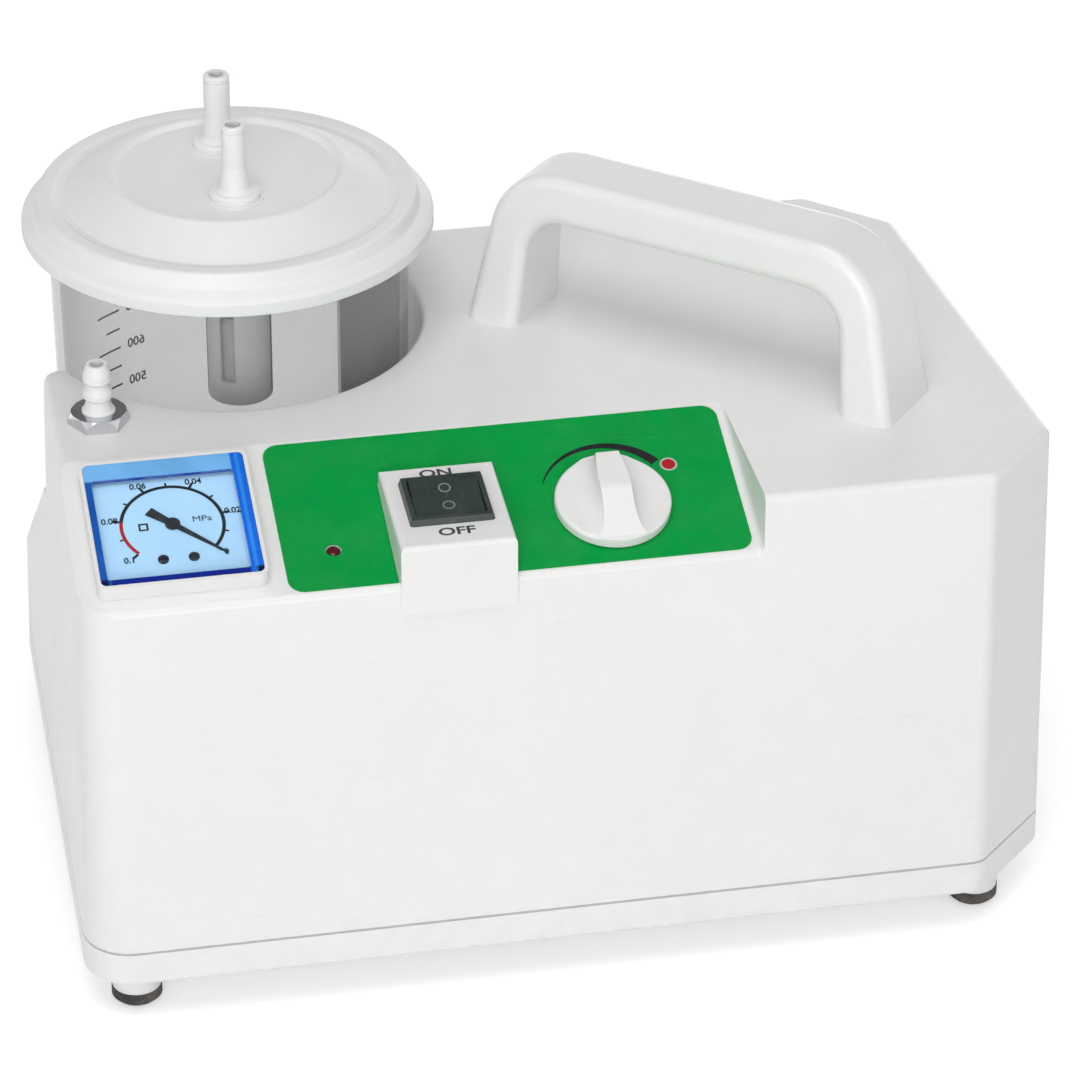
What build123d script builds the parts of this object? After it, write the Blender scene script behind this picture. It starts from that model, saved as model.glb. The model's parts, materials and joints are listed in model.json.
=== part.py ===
import math
import os
from build123d import *

os.makedirs("parts", exist_ok=True)

# Frame: millimetres, +Z up, front faces -Y, the origin lies on the table under the middle of the footprint.

# housing
housing_width = 282.0
housing_depth = 198.0
foot_height = 12.5
tray_height = 10.3
seam_height = 0.8
seam_inset = 1.2
top_height = 149.8
wall_draft = 1.5
wall_thickness = 3.0
front_left_radius = 14.0
corner_radius = 7.0
front_chamfer = 24.0
left_run_in = 3.5
right_run_in = 11.0
back_chamfer_across = 24.5
back_chamfer_deep = 23.0
rear_setback = 15.5
top_edge_radius = 2.2

# jar bay
jar_from_left = 63.3
jar_from_back = 64.0
bay_gap = 2.5
bay_floor = 34.0
bay_wall_reach = 23.0
bay_rim_drop = 37.8
bay_rim_rise = 8.0
bay_screen_reach = 38.0
bay_corner_reach = 60.0
wall_end_radius = 6.0

# slanted control panel
panel_width = 191.5
panel_drop = 17.3
panel_depth = 58.0
panel_edge_radius = 2.5
step_radius = 1.8

# feet
foot_radius = 7.0
foot_pad_height = 4.5
foot_inset_x = 15.0
foot_inset_y = 14.0
foot_spigot_radius = 4.0

# jar
jar_rim_radius = 52.9
jar_top_radius = 51.8
jar_foot_radius = 50.0
jar_wall = 2.4
jar_height = 153.5
jar_lip_height = 4.5
jar_corner_radius = 5.0
jar_gap = 0.3

# jar lid
lid_overhang = 6.1
lid_skirt_depth = 7.5
lid_bead_width = 5.0
lid_bead_height = 3.5
lid_plateau_radius = 31.4
lid_rise = 16.0
lid_wall = 2.6
lid_fit = 0.5
nipple_offset = 16.8
nipple_height = 22.3
nipple_bore = 2.2
nipple_land_length = 10.0
nipple_lip = 2.4
nipple_groove = 0.3
nipple_collar_radius = 7.3
nipple_collar_height = 2.2
patient_nipple_radius = 3.8
vacuum_nipple_radius = 3.4
spigot_length = 8.0
spigot_radius = 5.0

# overflow float
cage_radius = 9.3
cage_wall = 1.3
cage_length = 58.0
float_radius = 6.8
float_length = 24.0

# carrying handle
handle_angle = -40.5
handle_from_right = 91.0
handle_from_front = 88.2
handle_span = 136.0
handle_crown = 49.5
handle_grip_height = 35.0
handle_leg = 16.0
handle_lean = 10.0
handle_foot_depth = 29.0
handle_top_depth = 21.5
handle_edge_radius = 3.4

# gauge
gauge_from_left = 32.2
gauge_from_front = 30.5
gauge_side = 46.4
gauge_rise = 5.0
gauge_frame_side = 44.2
gauge_frame_height = 1.6
gauge_can_radius = 19.5
gauge_can_depth = 17.0
gauge_needle_length = 18.2

# raised switch platform
switch_from_left = 106.6
platform_width = 32.0
platform_back = 40.0
platform_back_rise = 4.4
platform_front_rise = 12.3
platform_proud = 0.5
platform_drop = 8.0
platform_radius = 1.4

# rocker switch
switch_inset = 17.5
bezel_width = 23.6
bezel_depth = 21.2
bezel_height = 1.8
bezel_wall = 1.7
switch_body_depth = 21.0
rocker_gap = 0.3
rocker_tilt = 7.0
rocker_rise = 1.4
pivot_drop = 2.0

# regulator
knob_from_left = 153.3
knob_from_front = 24.3
knob_radius = 16.2
knob_height = 9.2
knob_skirt_height = 2.8
knob_lift = 0.9
bar_half_width = 4.3
bar_arc_radius = 62.0
bar_back_reach = 12.6
bar_front_reach = 14.6
spindle_radius = 3.0

# other panel items
lamp_from_left = 74.5
lamp_from_front = 18.0
port_from_jar_x = 45.0
port_from_jar_y = 54.5
label_from_left = 60.5
label_from_step = 2.4
label_front_margin = 1.8
label_back_margin = 1.2
label_thickness = 0.4
label_radius = 4.5

# linear pump
pump_from_right = 79.0
pump_from_back = 65.5
pump_axis_z = 76.0
piston_radius = 14.0
piston_play = 0.05
valve_neck_radius = 4.8
valve_port_depth = 21.5
lamp_radius = 1.9
port_thread_radius = 4.7
bay_rim_radius = 1.5
port_nut_width = 15.2
port_nut_height = 3.6

# screw posts
post_inset = 26.0
post_radius = 4.2
post_hole_radius = 1.5
post_hole_depth = 14.0
post_top = 64.0
rib_thickness = 2.4

# rear wall
rear_items_z = 50.0
inlet_from_right = 63.0
inlet_width = 27.4
inlet_height = 20.0
fuse_from_inlet = 32.0
fuse_neck_radius = 6.0
vent_z = 86.0
vent_rows = 6
vent_pitch = 8.0
vent_length = 58.0
vent_width = 3.2
floor_slots = 5
handle_screw_radius = 2.1

# hose used inside the housing
hose_radius = 4.5
hose_bore = 3.3
hose_run_in = 26.0
hose_bend = 11.0

running_gap = 0.05
slip_gap = 0.15


def save(shape, node):
    export_step(shape, "parts/" + node + ".step")


def draft_inset(z):
    return (z - foot_height) * math.tan(math.radians(wall_draft))


left_x = -housing_width / 2
right_x = housing_width / 2
front_y = -housing_depth / 2
back_y = housing_depth / 2
tall_back_y = back_y - rear_setback
shell_bottom = foot_height + tray_height + seam_height

jar_x = left_x + jar_from_left
jar_y = back_y - jar_from_back
bay_radius = jar_rim_radius + bay_gap
bay_wall_end = jar_y - bay_wall_reach
bay_rim_high = top_height - bay_rim_drop
bay_rim_low = bay_floor + bay_rim_rise
bay_back_end = jar_x + bay_screen_reach
bay_base_right = jar_x + bay_corner_reach

panel_right = left_x + panel_width
panel_front_height = top_height - panel_drop
panel_back_y = front_y + panel_depth
gauge_x, gauge_y = left_x + gauge_from_left, front_y + gauge_from_front
switch_x = left_x + switch_from_left
knob_x, knob_y = left_x + knob_from_left, front_y + knob_from_front
lamp_x, lamp_y = left_x + lamp_from_left, front_y + lamp_from_front
label_left = left_x + label_from_left
port_x, port_y = jar_x - port_from_jar_x, jar_y - port_from_jar_y
handle_x, handle_y = right_x - handle_from_right, front_y + handle_from_front
pump_x, pump_y = right_x - pump_from_right, tall_back_y - pump_from_back
inlet_x = right_x - inlet_from_right
fuse_x = inlet_x - fuse_from_inlet
vent_x = pump_x


# plan outline of the housing at height z, moved inwards by the draft and by inset
def outline(z, inset=0.0):
    corners = [
        (left_x, front_y, front_left_radius),
        (right_x - front_chamfer, front_y, corner_radius),
        (right_x, front_y + front_chamfer, corner_radius),
        (right_x - right_run_in, tall_back_y - back_chamfer_deep, corner_radius),
        (right_x - right_run_in - back_chamfer_across, tall_back_y, corner_radius),
        (bay_base_right, tall_back_y, corner_radius),
        (bay_base_right - corner_radius, back_y, corner_radius),
        (left_x + left_run_in, back_y, front_left_radius),
    ]
    face = make_face(Polyline(*[(x, y) for x, y, r in corners], close=True))
    for x, y, r in corners:
        corner = face.vertices().sort_by_distance((x, y, 0))[0]
        face = fillet(corner, r)
    shift = draft_inset(z) + inset
    if shift > 0:
        face = offset(face, amount=-shift)
    return Pos(0, 0, z) * face


def drafted(z_low, z_high, inset=0.0):
    return loft([outline(z_low, inset), outline(z_high, inset)], ruled=True)


# extrudes a polygon given as (y, z) points from x_low to x_high
def side_prism(points, x_low, x_high):
    flat = make_face(Polyline(*[(y, z) for y, z in points], close=True))
    upright = Plane(origin=(x_low, 0, 0), x_dir=(0, 1, 0), z_dir=(1, 0, 0)) * flat
    return extrude(upright, amount=x_high - x_low)


def cylinder_between(x, y, z_low, z_high, radius):
    return Pos(x, y, (z_low + z_high) / 2) * Cylinder(radius, z_high - z_low)


far = 200.0


# space taken out of the block for the jar, grown by the wall thickness when it bounds the inner cavity
def bay_space(grow=0.0):
    well = cylinder_between(jar_x, jar_y, bay_floor - grow, far, bay_radius + grow)
    slope_back = back_y + 20
    fall = (bay_rim_high - bay_rim_low) / (back_y - bay_wall_end)
    low_end = bay_rim_low - fall * 20
    left = side_prism(
        [(bay_wall_end - grow, far), (bay_wall_end - grow, bay_rim_high - grow),
         (slope_back, low_end - grow), (slope_back, far)],
        -far, jar_x)
    rim_at_axis = bay_rim_high - fall * (jar_y - bay_wall_end)
    rear = side_prism(
        [(jar_y, far), (jar_y, rim_at_axis - grow), (slope_back, low_end - grow), (slope_back, far)],
        -far, bay_back_end + grow)
    ledge = side_prism(
        [(tall_back_y - draft_inset(bay_rim_low) - grow, bay_rim_low - grow),
         (slope_back, bay_rim_low - grow), (slope_back, far),
         (tall_back_y - draft_inset(far) - grow, far)],
        bay_back_end - 2, bay_base_right + 2 * corner_radius)
    return well + left + rear + ledge


# rounds the free end of the left wall beside the jar
def wall_end_rounding():
    run_in = left_run_in * (bay_wall_end - front_y) / housing_depth
    wall_x = left_x + run_in + draft_inset(bay_rim_high)
    place = Pos(wall_x + wall_end_radius, bay_wall_end - wall_end_radius, bay_rim_high) * Rot(0, wall_draft, 0)
    above = Pos(0, 0, bay_rim_drop)
    corner = above * Pos(-wall_end_radius, wall_end_radius, 0) * Box(
        2 * wall_end_radius, 2 * wall_end_radius, 2 * bay_rim_drop)
    return place * (corner - above * Cylinder(wall_end_radius, 3 * bay_rim_drop))


panel_front_y = front_y + draft_inset(panel_front_height)
panel_tilt = math.degrees(math.atan2(top_height - panel_front_height, panel_back_y - panel_front_y))
panel_mid_y = (panel_front_y + panel_back_y) / 2
panel_mid_z = (panel_front_height + top_height) / 2
panel_slope = math.tan(math.radians(panel_tilt))
panel_plane = Plane(
    origin=(0, panel_mid_y, panel_mid_z),
    x_dir=(1, 0, 0),
    z_dir=(0, -math.sin(math.radians(panel_tilt)), math.cos(math.radians(panel_tilt))))
panel_half_v = (panel_back_y - panel_front_y) / 2 / math.cos(math.radians(panel_tilt))


def panel_v(y):
    return (y - panel_mid_y) / math.cos(math.radians(panel_tilt))


# location on the slanted panel below plan point (x, y), raised by h along the panel normal
def on_panel(x, y, h=0.0):
    return panel_plane.location * Pos(x, panel_v(y), h)


# space above the slanted panel, its front edge rounded off
def panel_space(lower=0.0, shift=0.0):
    y_out = front_y - 30
    z_top = top_height + 30
    y_top = panel_back_y + 30 / panel_slope
    edge_y = panel_front_y - 0.02
    z_below = panel_front_height - 12
    below_y = front_y + draft_inset(z_below) - 0.02
    points = [
        (y_out, z_below), (below_y, z_below), (edge_y, panel_front_height),
        (y_top, z_top), (y_out, z_top + 1)]
    face = make_face(Polyline(*points, close=True))
    corner = face.vertices().sort_by_distance((edge_y, panel_front_height, 0))[0]
    face = fillet(corner, panel_edge_radius)
    upright = Plane(origin=(-far, 0, -lower), x_dir=(0, 1, 0), z_dir=(1, 0, 0)) * face
    return extrude(upright, amount=far + panel_right + shift)


# rectangular block placed by centre, with rounded upright edges
def rounded_block(width, depth, height, radius):
    return extrude(RectangleRounded(width, depth, radius), amount=height)


# tube-shaped cut that hollows one side of the knob's grip bar and clears the skirt beside it
def knob_scoop(side):
    tube = knob_height - knob_skirt_height
    middle = -side * (bar_arc_radius - bar_half_width - tube)
    waist = Pos(middle, 0, knob_skirt_height + tube) * Torus(bar_arc_radius, tube)
    outside = Cylinder(2 * bar_arc_radius, knob_height) - Cylinder(bar_arc_radius, 3 * knob_height)
    return waist + Pos(middle, 0, knob_skirt_height + knob_height / 2) * outside


# hose nipple standing on z = 0: spigot, collar, tapered stem, plain land, groove and lip
def nipple(land_radius, root_radius):
    land_end = nipple_height - nipple_lip
    stem = nipple_collar_height + 1.0
    profile = turned([
        (nipple_bore, -spigot_length), (spigot_radius, -spigot_length), (spigot_radius, 0),
        (nipple_collar_radius, 0), (nipple_collar_radius, nipple_collar_height - 0.7),
        (nipple_collar_radius - 0.7, nipple_collar_height), (root_radius + 0.9, nipple_collar_height),
        (root_radius, stem), (land_radius, land_end - nipple_land_length), (land_radius, land_end),
        (land_radius - nipple_groove, land_end + nipple_groove), (land_radius - nipple_groove, land_end + 0.5),
        (land_radius, land_end + 0.8), (land_radius, nipple_height - 0.5), (land_radius - 0.4, nipple_height),
        (nipple_bore, nipple_height)])
    return profile


def turned(points):
    flat = make_face(Polyline(*[(r, z) for r, z in points], close=True))
    return revolve(Plane.XZ * flat, axis=Axis.Z)


# barbed stem for a hose inside the housing, standing on z = 0
inner_barb = [(1.4, 0), (3.6, 0), (3.6, 3), (2.5, 3.2), (2.5, 9), (3.05, 9.2), (2.6, 12), (1.4, 12)]


def hexagon_block(across_flats, height):
    return extrude(RegularPolygon(across_flats / 2, 6, major_radius=False), amount=height)


# hollow hose that leaves one stem straight, bends twice or more and arrives straight at the other
def hose(start, way_out, end, way_in, middle=()):
    first, last = Vector(*start), Vector(*end)
    corners = [first + Vector(*way_out) * hose_run_in]
    corners = corners + [Vector(*point) for point in middle]
    corners.append(last - Vector(*way_in) * hose_run_in)
    path = FilletPolyline(first, *corners, last, radius=hose_bend)
    ring = Plane(origin=first, z_dir=way_out) * (Circle(hose_radius) - Circle(hose_bore))
    return sweep(ring, path=path)


# outside of the housing
block = drafted(shell_bottom, top_height)
block = fillet(block.faces().sort_by(Axis.Z)[-1].edges(), top_edge_radius)
outer = block - bay_space()
outer = outer - wall_end_rounding()
outer = outer - panel_space()
step_foot = [
    e for e in outer.edges().filter_by(GeomType.LINE)
    if abs(e.center().X - panel_right) < 0.01 and abs(e.center().Z - panel_mid_z) < 3 and e.length > panel_depth / 2]
outer = fillet(step_foot, step_radius)
bay_rim = [
    e for e in outer.edges()
    if abs(e.center().Z - top_height) < 0.2 and e.geom_type == GeomType.CIRCLE and e.length > 100]
outer = fillet(bay_rim, bay_rim_radius)

cavity = drafted(shell_bottom - 1, top_height - wall_thickness, wall_thickness)
cavity = cavity - bay_space(wall_thickness) - panel_space(wall_thickness * 1.03, wall_thickness)
shell = outer - cavity

# screw posts on ribs that run into the walls: x, y and the way to the wall
screw_posts = [
    (left_x + post_inset, front_y + post_inset, -1, 0),
    (right_x - front_chamfer - 22, front_y + post_inset, 0, -1),
    (right_x - 20, tall_back_y - back_chamfer_deep - 30, 1, 0),
    (bay_base_right + 16, tall_back_y - post_inset, 0, 1),
]
rib_limit = drafted(shell_bottom, post_top, 1.0)
for x, y, way_x, way_y in screw_posts:
    post = cylinder_between(x, y, shell_bottom, post_top, post_radius)
    rib_size = (50 if way_x else rib_thickness, 50 if way_y else rib_thickness)
    rib = Pos(x + 25 * way_x, y + 25 * way_y, (shell_bottom + post_top) / 2) * Box(
        rib_size[0], rib_size[1], post_top - shell_bottom)
    post = post + (rib & rib_limit)
    shell = shell + (post - cylinder_between(x, y, 0, shell_bottom + post_hole_depth, post_hole_radius))

# openings through the panel and the top
gauge_place = on_panel(gauge_x, gauge_y)
platform_back_y = front_y + platform_back
platform_back_z = panel_front_height + panel_slope * (platform_back_y - panel_front_y) + platform_back_rise
platform_front_y = panel_front_y - platform_proud
platform_front_z = panel_front_height + platform_front_rise
platform_tilt = math.degrees(math.atan2(platform_back_z - platform_front_z, platform_back_y - platform_front_y))
platform_place = Pos(switch_x, platform_back_y, platform_back_z) * Rot(platform_tilt, 0, 0)
switch_place = platform_place * Pos(0, -switch_inset, 0)
knob_place = on_panel(knob_x, knob_y)
lamp_place = on_panel(lamp_x, lamp_y)
label_right = panel_right - label_from_step
shell = shell - gauge_place * Cylinder(gauge_can_radius + slip_gap, 30)
shell = shell - switch_place * Pos(0, 0, -20) * Box(bezel_width + 1.0, bezel_depth + 1.0, 40)
shell = shell - knob_place * Cylinder(valve_neck_radius + slip_gap, 30)
shell = shell - lamp_place * Cylinder(lamp_radius + slip_gap, 30)
shell = shell - cylinder_between(port_x, port_y, 120, far, port_thread_radius + slip_gap)

# rear wall: inlet, fuse holder and slots for air
rear_y = tall_back_y - draft_inset(rear_items_z)
rear_place = Plane(
    origin=(0, rear_y, rear_items_z), x_dir=(-1, 0, 0),
    z_dir=(0, math.cos(math.radians(wall_draft)), math.sin(math.radians(wall_draft)))).location
inlet_hole = rear_place * Pos(-inlet_x, 0, 0) * Box(inlet_width, inlet_height, 20)
fuse_hole = rear_place * Pos(-fuse_x, 0, 0) * Cylinder(fuse_neck_radius + slip_gap, 20)
shell = shell - inlet_hole - fuse_hole
for row in range(vent_rows):
    slot = SlotOverall(vent_length, vent_width)
    cutter = rear_place * Pos(-vent_x, vent_z - rear_items_z + row * vent_pitch, -10) * extrude(slot, amount=20)
    shell = shell - cutter

# carrying handle: drafted bow on two legs
half = handle_span / 2
bow_points = [
    (-half, 0), (-half + handle_lean, handle_crown), (half - handle_lean, handle_crown), (half, 0),
    (half - handle_leg, 0), (half - handle_leg - 3, handle_grip_height),
    (-half + handle_leg + 3, handle_grip_height), (-half + handle_leg, 0)]
bow_face = make_face(Polyline(*bow_points, close=True))
for s, z, r in [
        (-half + handle_lean, handle_crown, 22.0), (half - handle_lean, handle_crown, 22.0),
        (half - handle_leg - 3, handle_grip_height, 12.0), (-half + handle_leg + 3, handle_grip_height, 12.0)]:
    bow_face = fillet(bow_face.vertices().sort_by_distance((s, z, 0))[0], r)
bow = extrude(Plane.XZ * bow_face, amount=handle_foot_depth, both=True)
wedge = make_face(Polyline(
    (-handle_foot_depth / 2, 0), (handle_foot_depth / 2, 0),
    (handle_top_depth / 2, handle_crown), (-handle_top_depth / 2, handle_crown), close=True))
bow = bow & extrude(Plane.YZ * wedge, amount=handle_span, both=True)
long_edges = [e for e in bow.edges() if e.center().Z > 0.5 and abs(e.center().Y) > handle_top_depth / 2 - 1]
bow = fillet(long_edges, handle_edge_radius)
leg_middle = half - handle_leg / 2
for side in (-1, 1):
    bow = bow - cylinder_between(side * leg_middle, 0, -1, 12, handle_screw_radius)
handle_place = Pos(handle_x, handle_y, top_height) * Rot(0, 0, handle_angle)
save(handle_place * bow, "carrying_handle")

handle_screws = []
for side in (-1, 1):
    place = handle_place * Pos(side * leg_middle, 0, 0)
    shell = shell - place * Cylinder(handle_screw_radius + slip_gap, 30)
    screw = cylinder_between(0, 0, -wall_thickness - 0.1, 10, handle_screw_radius - 0.1)
    head = cylinder_between(0, 0, -wall_thickness - 3.0, -wall_thickness - 0.1, 2 * handle_screw_radius)
    handle_screws.append(place * (screw + head))
save(Compound(children=handle_screws), "handle_screws")
save(shell, "housing_shell")

# base tray with a raised lip inside the seam
tray = drafted(foot_height, foot_height + tray_height)
tray_low = tray.faces().sort_by(Axis.Z)[0].edges()
tray = fillet(tray_low, 1.6)
tray_lip = drafted(foot_height + tray_height - 0.5, shell_bottom, seam_inset)
tray = tray + tray_lip
tray_hollow = drafted(foot_height + wall_thickness, shell_bottom + 1, wall_thickness)
tray = tray - tray_hollow
tray_screws = []
for x, y, way_x, way_y in screw_posts:
    tray = tray + cylinder_between(x, y, foot_height + 1, shell_bottom, post_radius)
    tray = tray - cylinder_between(x, y, 0, shell_bottom + 1, post_hole_radius + 0.4)
    tray = tray - cylinder_between(x, y, 0, foot_height + 4, 3.6)
    shank = cylinder_between(x, y, foot_height + 4, shell_bottom + post_hole_depth - 1, post_hole_radius - 0.05)
    head = cylinder_between(x, y, foot_height + 1.6, foot_height + 4, 3.2)
    tray_screws.append(shank + head)
for column in range(floor_slots):
    slot = extrude(SlotOverall(40, 4), amount=10)
    tray = tray - Pos(pump_x, pump_y + 9 * (column - (floor_slots - 1) / 2), foot_height - 2) * slot

# feet
foot_spots = [
    (left_x + foot_inset_x, front_y + foot_inset_y),
    (right_x - foot_inset_x - 6, front_y + front_chamfer - 6),
    (left_x + foot_inset_x + left_run_in, back_y - foot_inset_y),
    (right_x - right_run_in - back_chamfer_across, tall_back_y - foot_inset_y - 8),
]
posts = []
pads = []
for x, y in foot_spots:
    tray = tray - cylinder_between(x, y, 0, foot_height + wall_thickness + 1, foot_spigot_radius + slip_gap)
    post = cylinder_between(x, y, foot_pad_height, foot_height, foot_radius)
    post = post + cylinder_between(x, y, foot_height, foot_height + wall_thickness, foot_spigot_radius)
    post = post - cylinder_between(x, y, 0, foot_pad_height + 3, foot_spigot_radius - 1)
    posts.append(post)
    pad = Pos(x, y, 0) * turned([
        (0, 0), (foot_radius - 1.2, 0), (foot_radius + 0.2, 1.4), (foot_radius + 0.2, foot_pad_height),
        (foot_spigot_radius - 1.1, foot_pad_height), (foot_spigot_radius - 1.1, foot_pad_height + 2.8),
        (0, foot_pad_height + 2.8)])
    pads.append(pad)
save(tray, "base_tray")
save(Compound(children=posts), "foot_posts")
save(Compound(children=pads), "foot_pads")
save(Compound(children=tray_screws), "tray_screws")

# jar: drafted glass-clear wall, rounded foot, rim bead
jar_top = bay_floor + jar_gap + jar_height
jar_low = bay_floor + jar_gap
jar_outer = turned([
    (0, 0), (jar_foot_radius, 0), (jar_top_radius, jar_height - jar_lip_height),
    (jar_rim_radius, jar_height - jar_lip_height + 1), (jar_rim_radius, jar_height), (0, jar_height)])
jar_outer = fillet(jar_outer.edges().filter_by(lambda e: e.center().Z < 0.01 and e.geom_type == GeomType.CIRCLE), jar_corner_radius)
jar_inner = turned([
    (0, jar_wall + 0.8), (jar_foot_radius - jar_wall, jar_wall + 0.8),
    (jar_top_radius - jar_wall, jar_height + 1), (0, jar_height + 1)])
jar_inner = fillet(jar_inner.edges().filter_by(lambda e: e.center().Z < jar_wall + 1 and e.geom_type == GeomType.CIRCLE), jar_corner_radius - jar_wall)
jar_foot_hollow = turned([(0, -1), (jar_foot_radius - 9, -1), (jar_foot_radius - 10, 1.2), (0, 1.6)])
jar = jar_outer - jar_inner - jar_foot_hollow
save(Pos(jar_x, jar_y, jar_low) * jar, "jar")

# lid: skirt over the jar rim, bead, groove, conical shoulder and a flat plateau
rim_seat = jar_top + lid_fit
skirt_bottom = rim_seat - lid_skirt_depth
mouth_radius = jar_top_radius - jar_wall
lid_radius = jar_rim_radius + lid_overhang
bead_radius = lid_radius - lid_bead_width
bead_top = rim_seat + lid_bead_height
groove_radius = mouth_radius - 2.0
plug_radius = mouth_radius - lid_fit
plateau_z = skirt_bottom + lid_rise
plug_bottom = rim_seat - lid_skirt_depth + 0.2
lid_profile = [
    (0, plateau_z), (lid_plateau_radius, plateau_z, 0.8), (lid_plateau_radius + 1.6, plateau_z + 1.3, 0.9),
    (lid_plateau_radius + 3.0, plateau_z + 1.1, 1.2), (groove_radius - 1.6, bead_top - 0.2, 0.8),
    (groove_radius - 0.4, bead_top - 0.9, 0.6), (groove_radius + 1.4, bead_top - 0.8, 0.6),
    (groove_radius + 2.6, bead_top, 0.6), (bead_radius, bead_top, 1.3), (bead_radius + 1.0, rim_seat - 0.8, 1.0),
    (lid_radius - 1.0, rim_seat - 2.6, 1.0), (lid_radius, rim_seat - 3.8, 0.8), (lid_radius, skirt_bottom, 0.5),
    (lid_radius - 2.0, skirt_bottom), (lid_radius - 2.4, skirt_bottom + 2.8), (lid_radius - 3.6, skirt_bottom + 3.8),
    (lid_radius - 4.0, skirt_bottom), (jar_rim_radius + lid_fit, skirt_bottom), (jar_rim_radius + lid_fit, rim_seat),
    (plug_radius, rim_seat), (plug_radius, rim_seat - 3.2), (plug_radius - 1.8, rim_seat - 3.2),
    (plug_radius - 1.8, rim_seat - 5.2), (plug_radius, rim_seat - 5.2), (plug_radius, plug_bottom),
    (plug_radius - 3.8, plug_bottom), (plug_radius - 4.4, rim_seat + 0.4, 1.5),
    (lid_plateau_radius + 1.0, plateau_z + 0.6 - lid_wall, 1.5), (lid_plateau_radius - 1.0, plateau_z - lid_wall),
    (0, plateau_z - lid_wall)]
lid_face = make_face(Polyline(*[(point[0], point[1]) for point in lid_profile], close=True))
for r, z, rounding in [point for point in lid_profile if len(point) == 3]:
    lid_face = fillet(lid_face.vertices().sort_by_distance((r, z, 0))[0], rounding)
lid = Pos(jar_x, jar_y, 0) * revolve(Plane.XZ * lid_face, axis=Axis.Z)
lid_seat = plateau_z
for side in (-1, 1):
    y_nipple = jar_y + side * nipple_offset
    lid = lid + cylinder_between(jar_x, y_nipple, lid_seat - spigot_length / 2, lid_seat + 0.4, nipple_collar_radius + 1)
    lid = lid - cylinder_between(jar_x, y_nipple, lid_seat - 20, far, spigot_radius + slip_gap)
save(lid, "jar_lid")
gasket = Pos(jar_x, jar_y, rim_seat - 5.1) * turned([
    (plug_radius - 1.7, 0), (plug_radius + 0.2, 0), (plug_radius + 0.32, 0.9), (plug_radius + 0.2, 1.8),
    (plug_radius - 1.7, 1.8)])
save(gasket, "lid_gasket")
nipple_seat = lid_seat + 0.42
save(Pos(jar_x, jar_y + nipple_offset, nipple_seat) * nipple(patient_nipple_radius, 4.5), "patient_nipple")
save(Pos(jar_x, jar_y - nipple_offset, nipple_seat) * nipple(vacuum_nipple_radius, 4.3), "vacuum_nipple")

# overflow valve under the vacuum nipple: a slotted cage and the float that closes it
cage_top = lid_seat - spigot_length / 2 - 0.1
cage = turned([
    (cage_radius - cage_wall, -cage_length), (cage_radius, -cage_length), (cage_radius, 0),
    (spigot_radius + 0.2, 0), (spigot_radius + 0.2, -1.4), (cage_radius - cage_wall, -1.4)])
for turn in range(3):
    window = Rot(0, 0, 120 * turn) * Pos(cage_radius, 0, -cage_length / 2 - 8) * Box(4, 4.5, cage_length - 30)
    cage = cage - window
cage = cage + Pos(0, 0, -cage_length + 0.8) * (Cylinder(cage_radius, 1.6) - Cylinder(3.0, 4))
cage_place = Pos(jar_x, jar_y - nipple_offset, cage_top)
save(cage_place * cage, "float_cage")
float_rest = -cage_length + 1.7
float_shape = turned([
    (0, 0.6), (float_radius - 1.4, 0), (float_radius, 1.4), (float_radius, float_length - 1.4),
    (float_radius - 1.4, float_length), (3.2, float_length), (2.0, float_length + 3), (0, float_length + 3.4)])
save(cage_place * Pos(0, 0, float_rest) * float_shape, "overflow_float")

# label sheet with its cut-outs
label_back = panel_half_v - label_back_margin
label_front = -panel_half_v + label_front_margin
label = Pos((label_left + label_right) / 2, (label_back + label_front) / 2, 0) * rounded_block(
    label_right - label_left, label_back - label_front, label_thickness, label_radius)
label_notch = panel_v(platform_back_y) + 0.3
label = label - Pos(switch_x, label_notch - panel_half_v, 0) * Box(platform_width + 0.5, 2 * panel_half_v, 10)
label = label - Pos(knob_x, panel_v(knob_y), 0) * Cylinder(valve_neck_radius + 1.0, 10)
label = label - Pos(lamp_x, panel_v(lamp_y), 0) * Cylinder(lamp_radius + 0.3, 10)
save(panel_plane.location * Pos(0, 0, 0.02) * label, "control_label")

# gauge
can = Pos(0, 0, -gauge_can_depth) * Cylinder(gauge_can_radius, gauge_can_depth + 1, align=(Align.CENTER, Align.CENTER, Align.MIN))
bezel = rounded_block(gauge_side, gauge_side, gauge_rise, 2.6)
case = Pos(0, 0, 0.02) * bezel + can
case = case - Pos(0, 0, gauge_rise - 1.6) * rounded_block(gauge_frame_side + 0.2, gauge_frame_side + 0.2, 10, 1.6)
case = case - Pos(0, 0, gauge_rise - 3.4) * rounded_block(gauge_side - 5.2, gauge_side - 5.2, 10, 1.2)
case = case - Pos(0, 0, -gauge_can_depth + 1.6) * Cylinder(
    gauge_can_radius - 1.6, 40, align=(Align.CENTER, Align.CENTER, Align.MIN))
case = case - Pos(0, 0, -gauge_can_depth) * Cylinder(3.1, 10)
save(gauge_place * case, "gauge_case")
dial_side = gauge_side - 5.6
dial_z = gauge_rise - 3.35
dial = Pos(0, 0, dial_z) * rounded_block(dial_side, dial_side, 0.6, 1.0) - Cylinder(1.0, 40)
for side in (-1, 1):
    dial = dial - Pos(side * 4.2, -12.5, 0) * Cylinder(0.9, 40)
save(gauge_place * dial, "gauge_dial")
frame_ring = rounded_block(gauge_frame_side, gauge_frame_side, gauge_frame_height, 1.5)
window_shift_x, window_shift_y = -0.8, -1.9
window_width, window_depth = gauge_frame_side - 5.2, gauge_frame_side - 7.4
window = Pos(window_shift_x, window_shift_y, -1) * rounded_block(window_width, window_depth, 6, 0.8)
frame_ring = frame_ring - window
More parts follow.
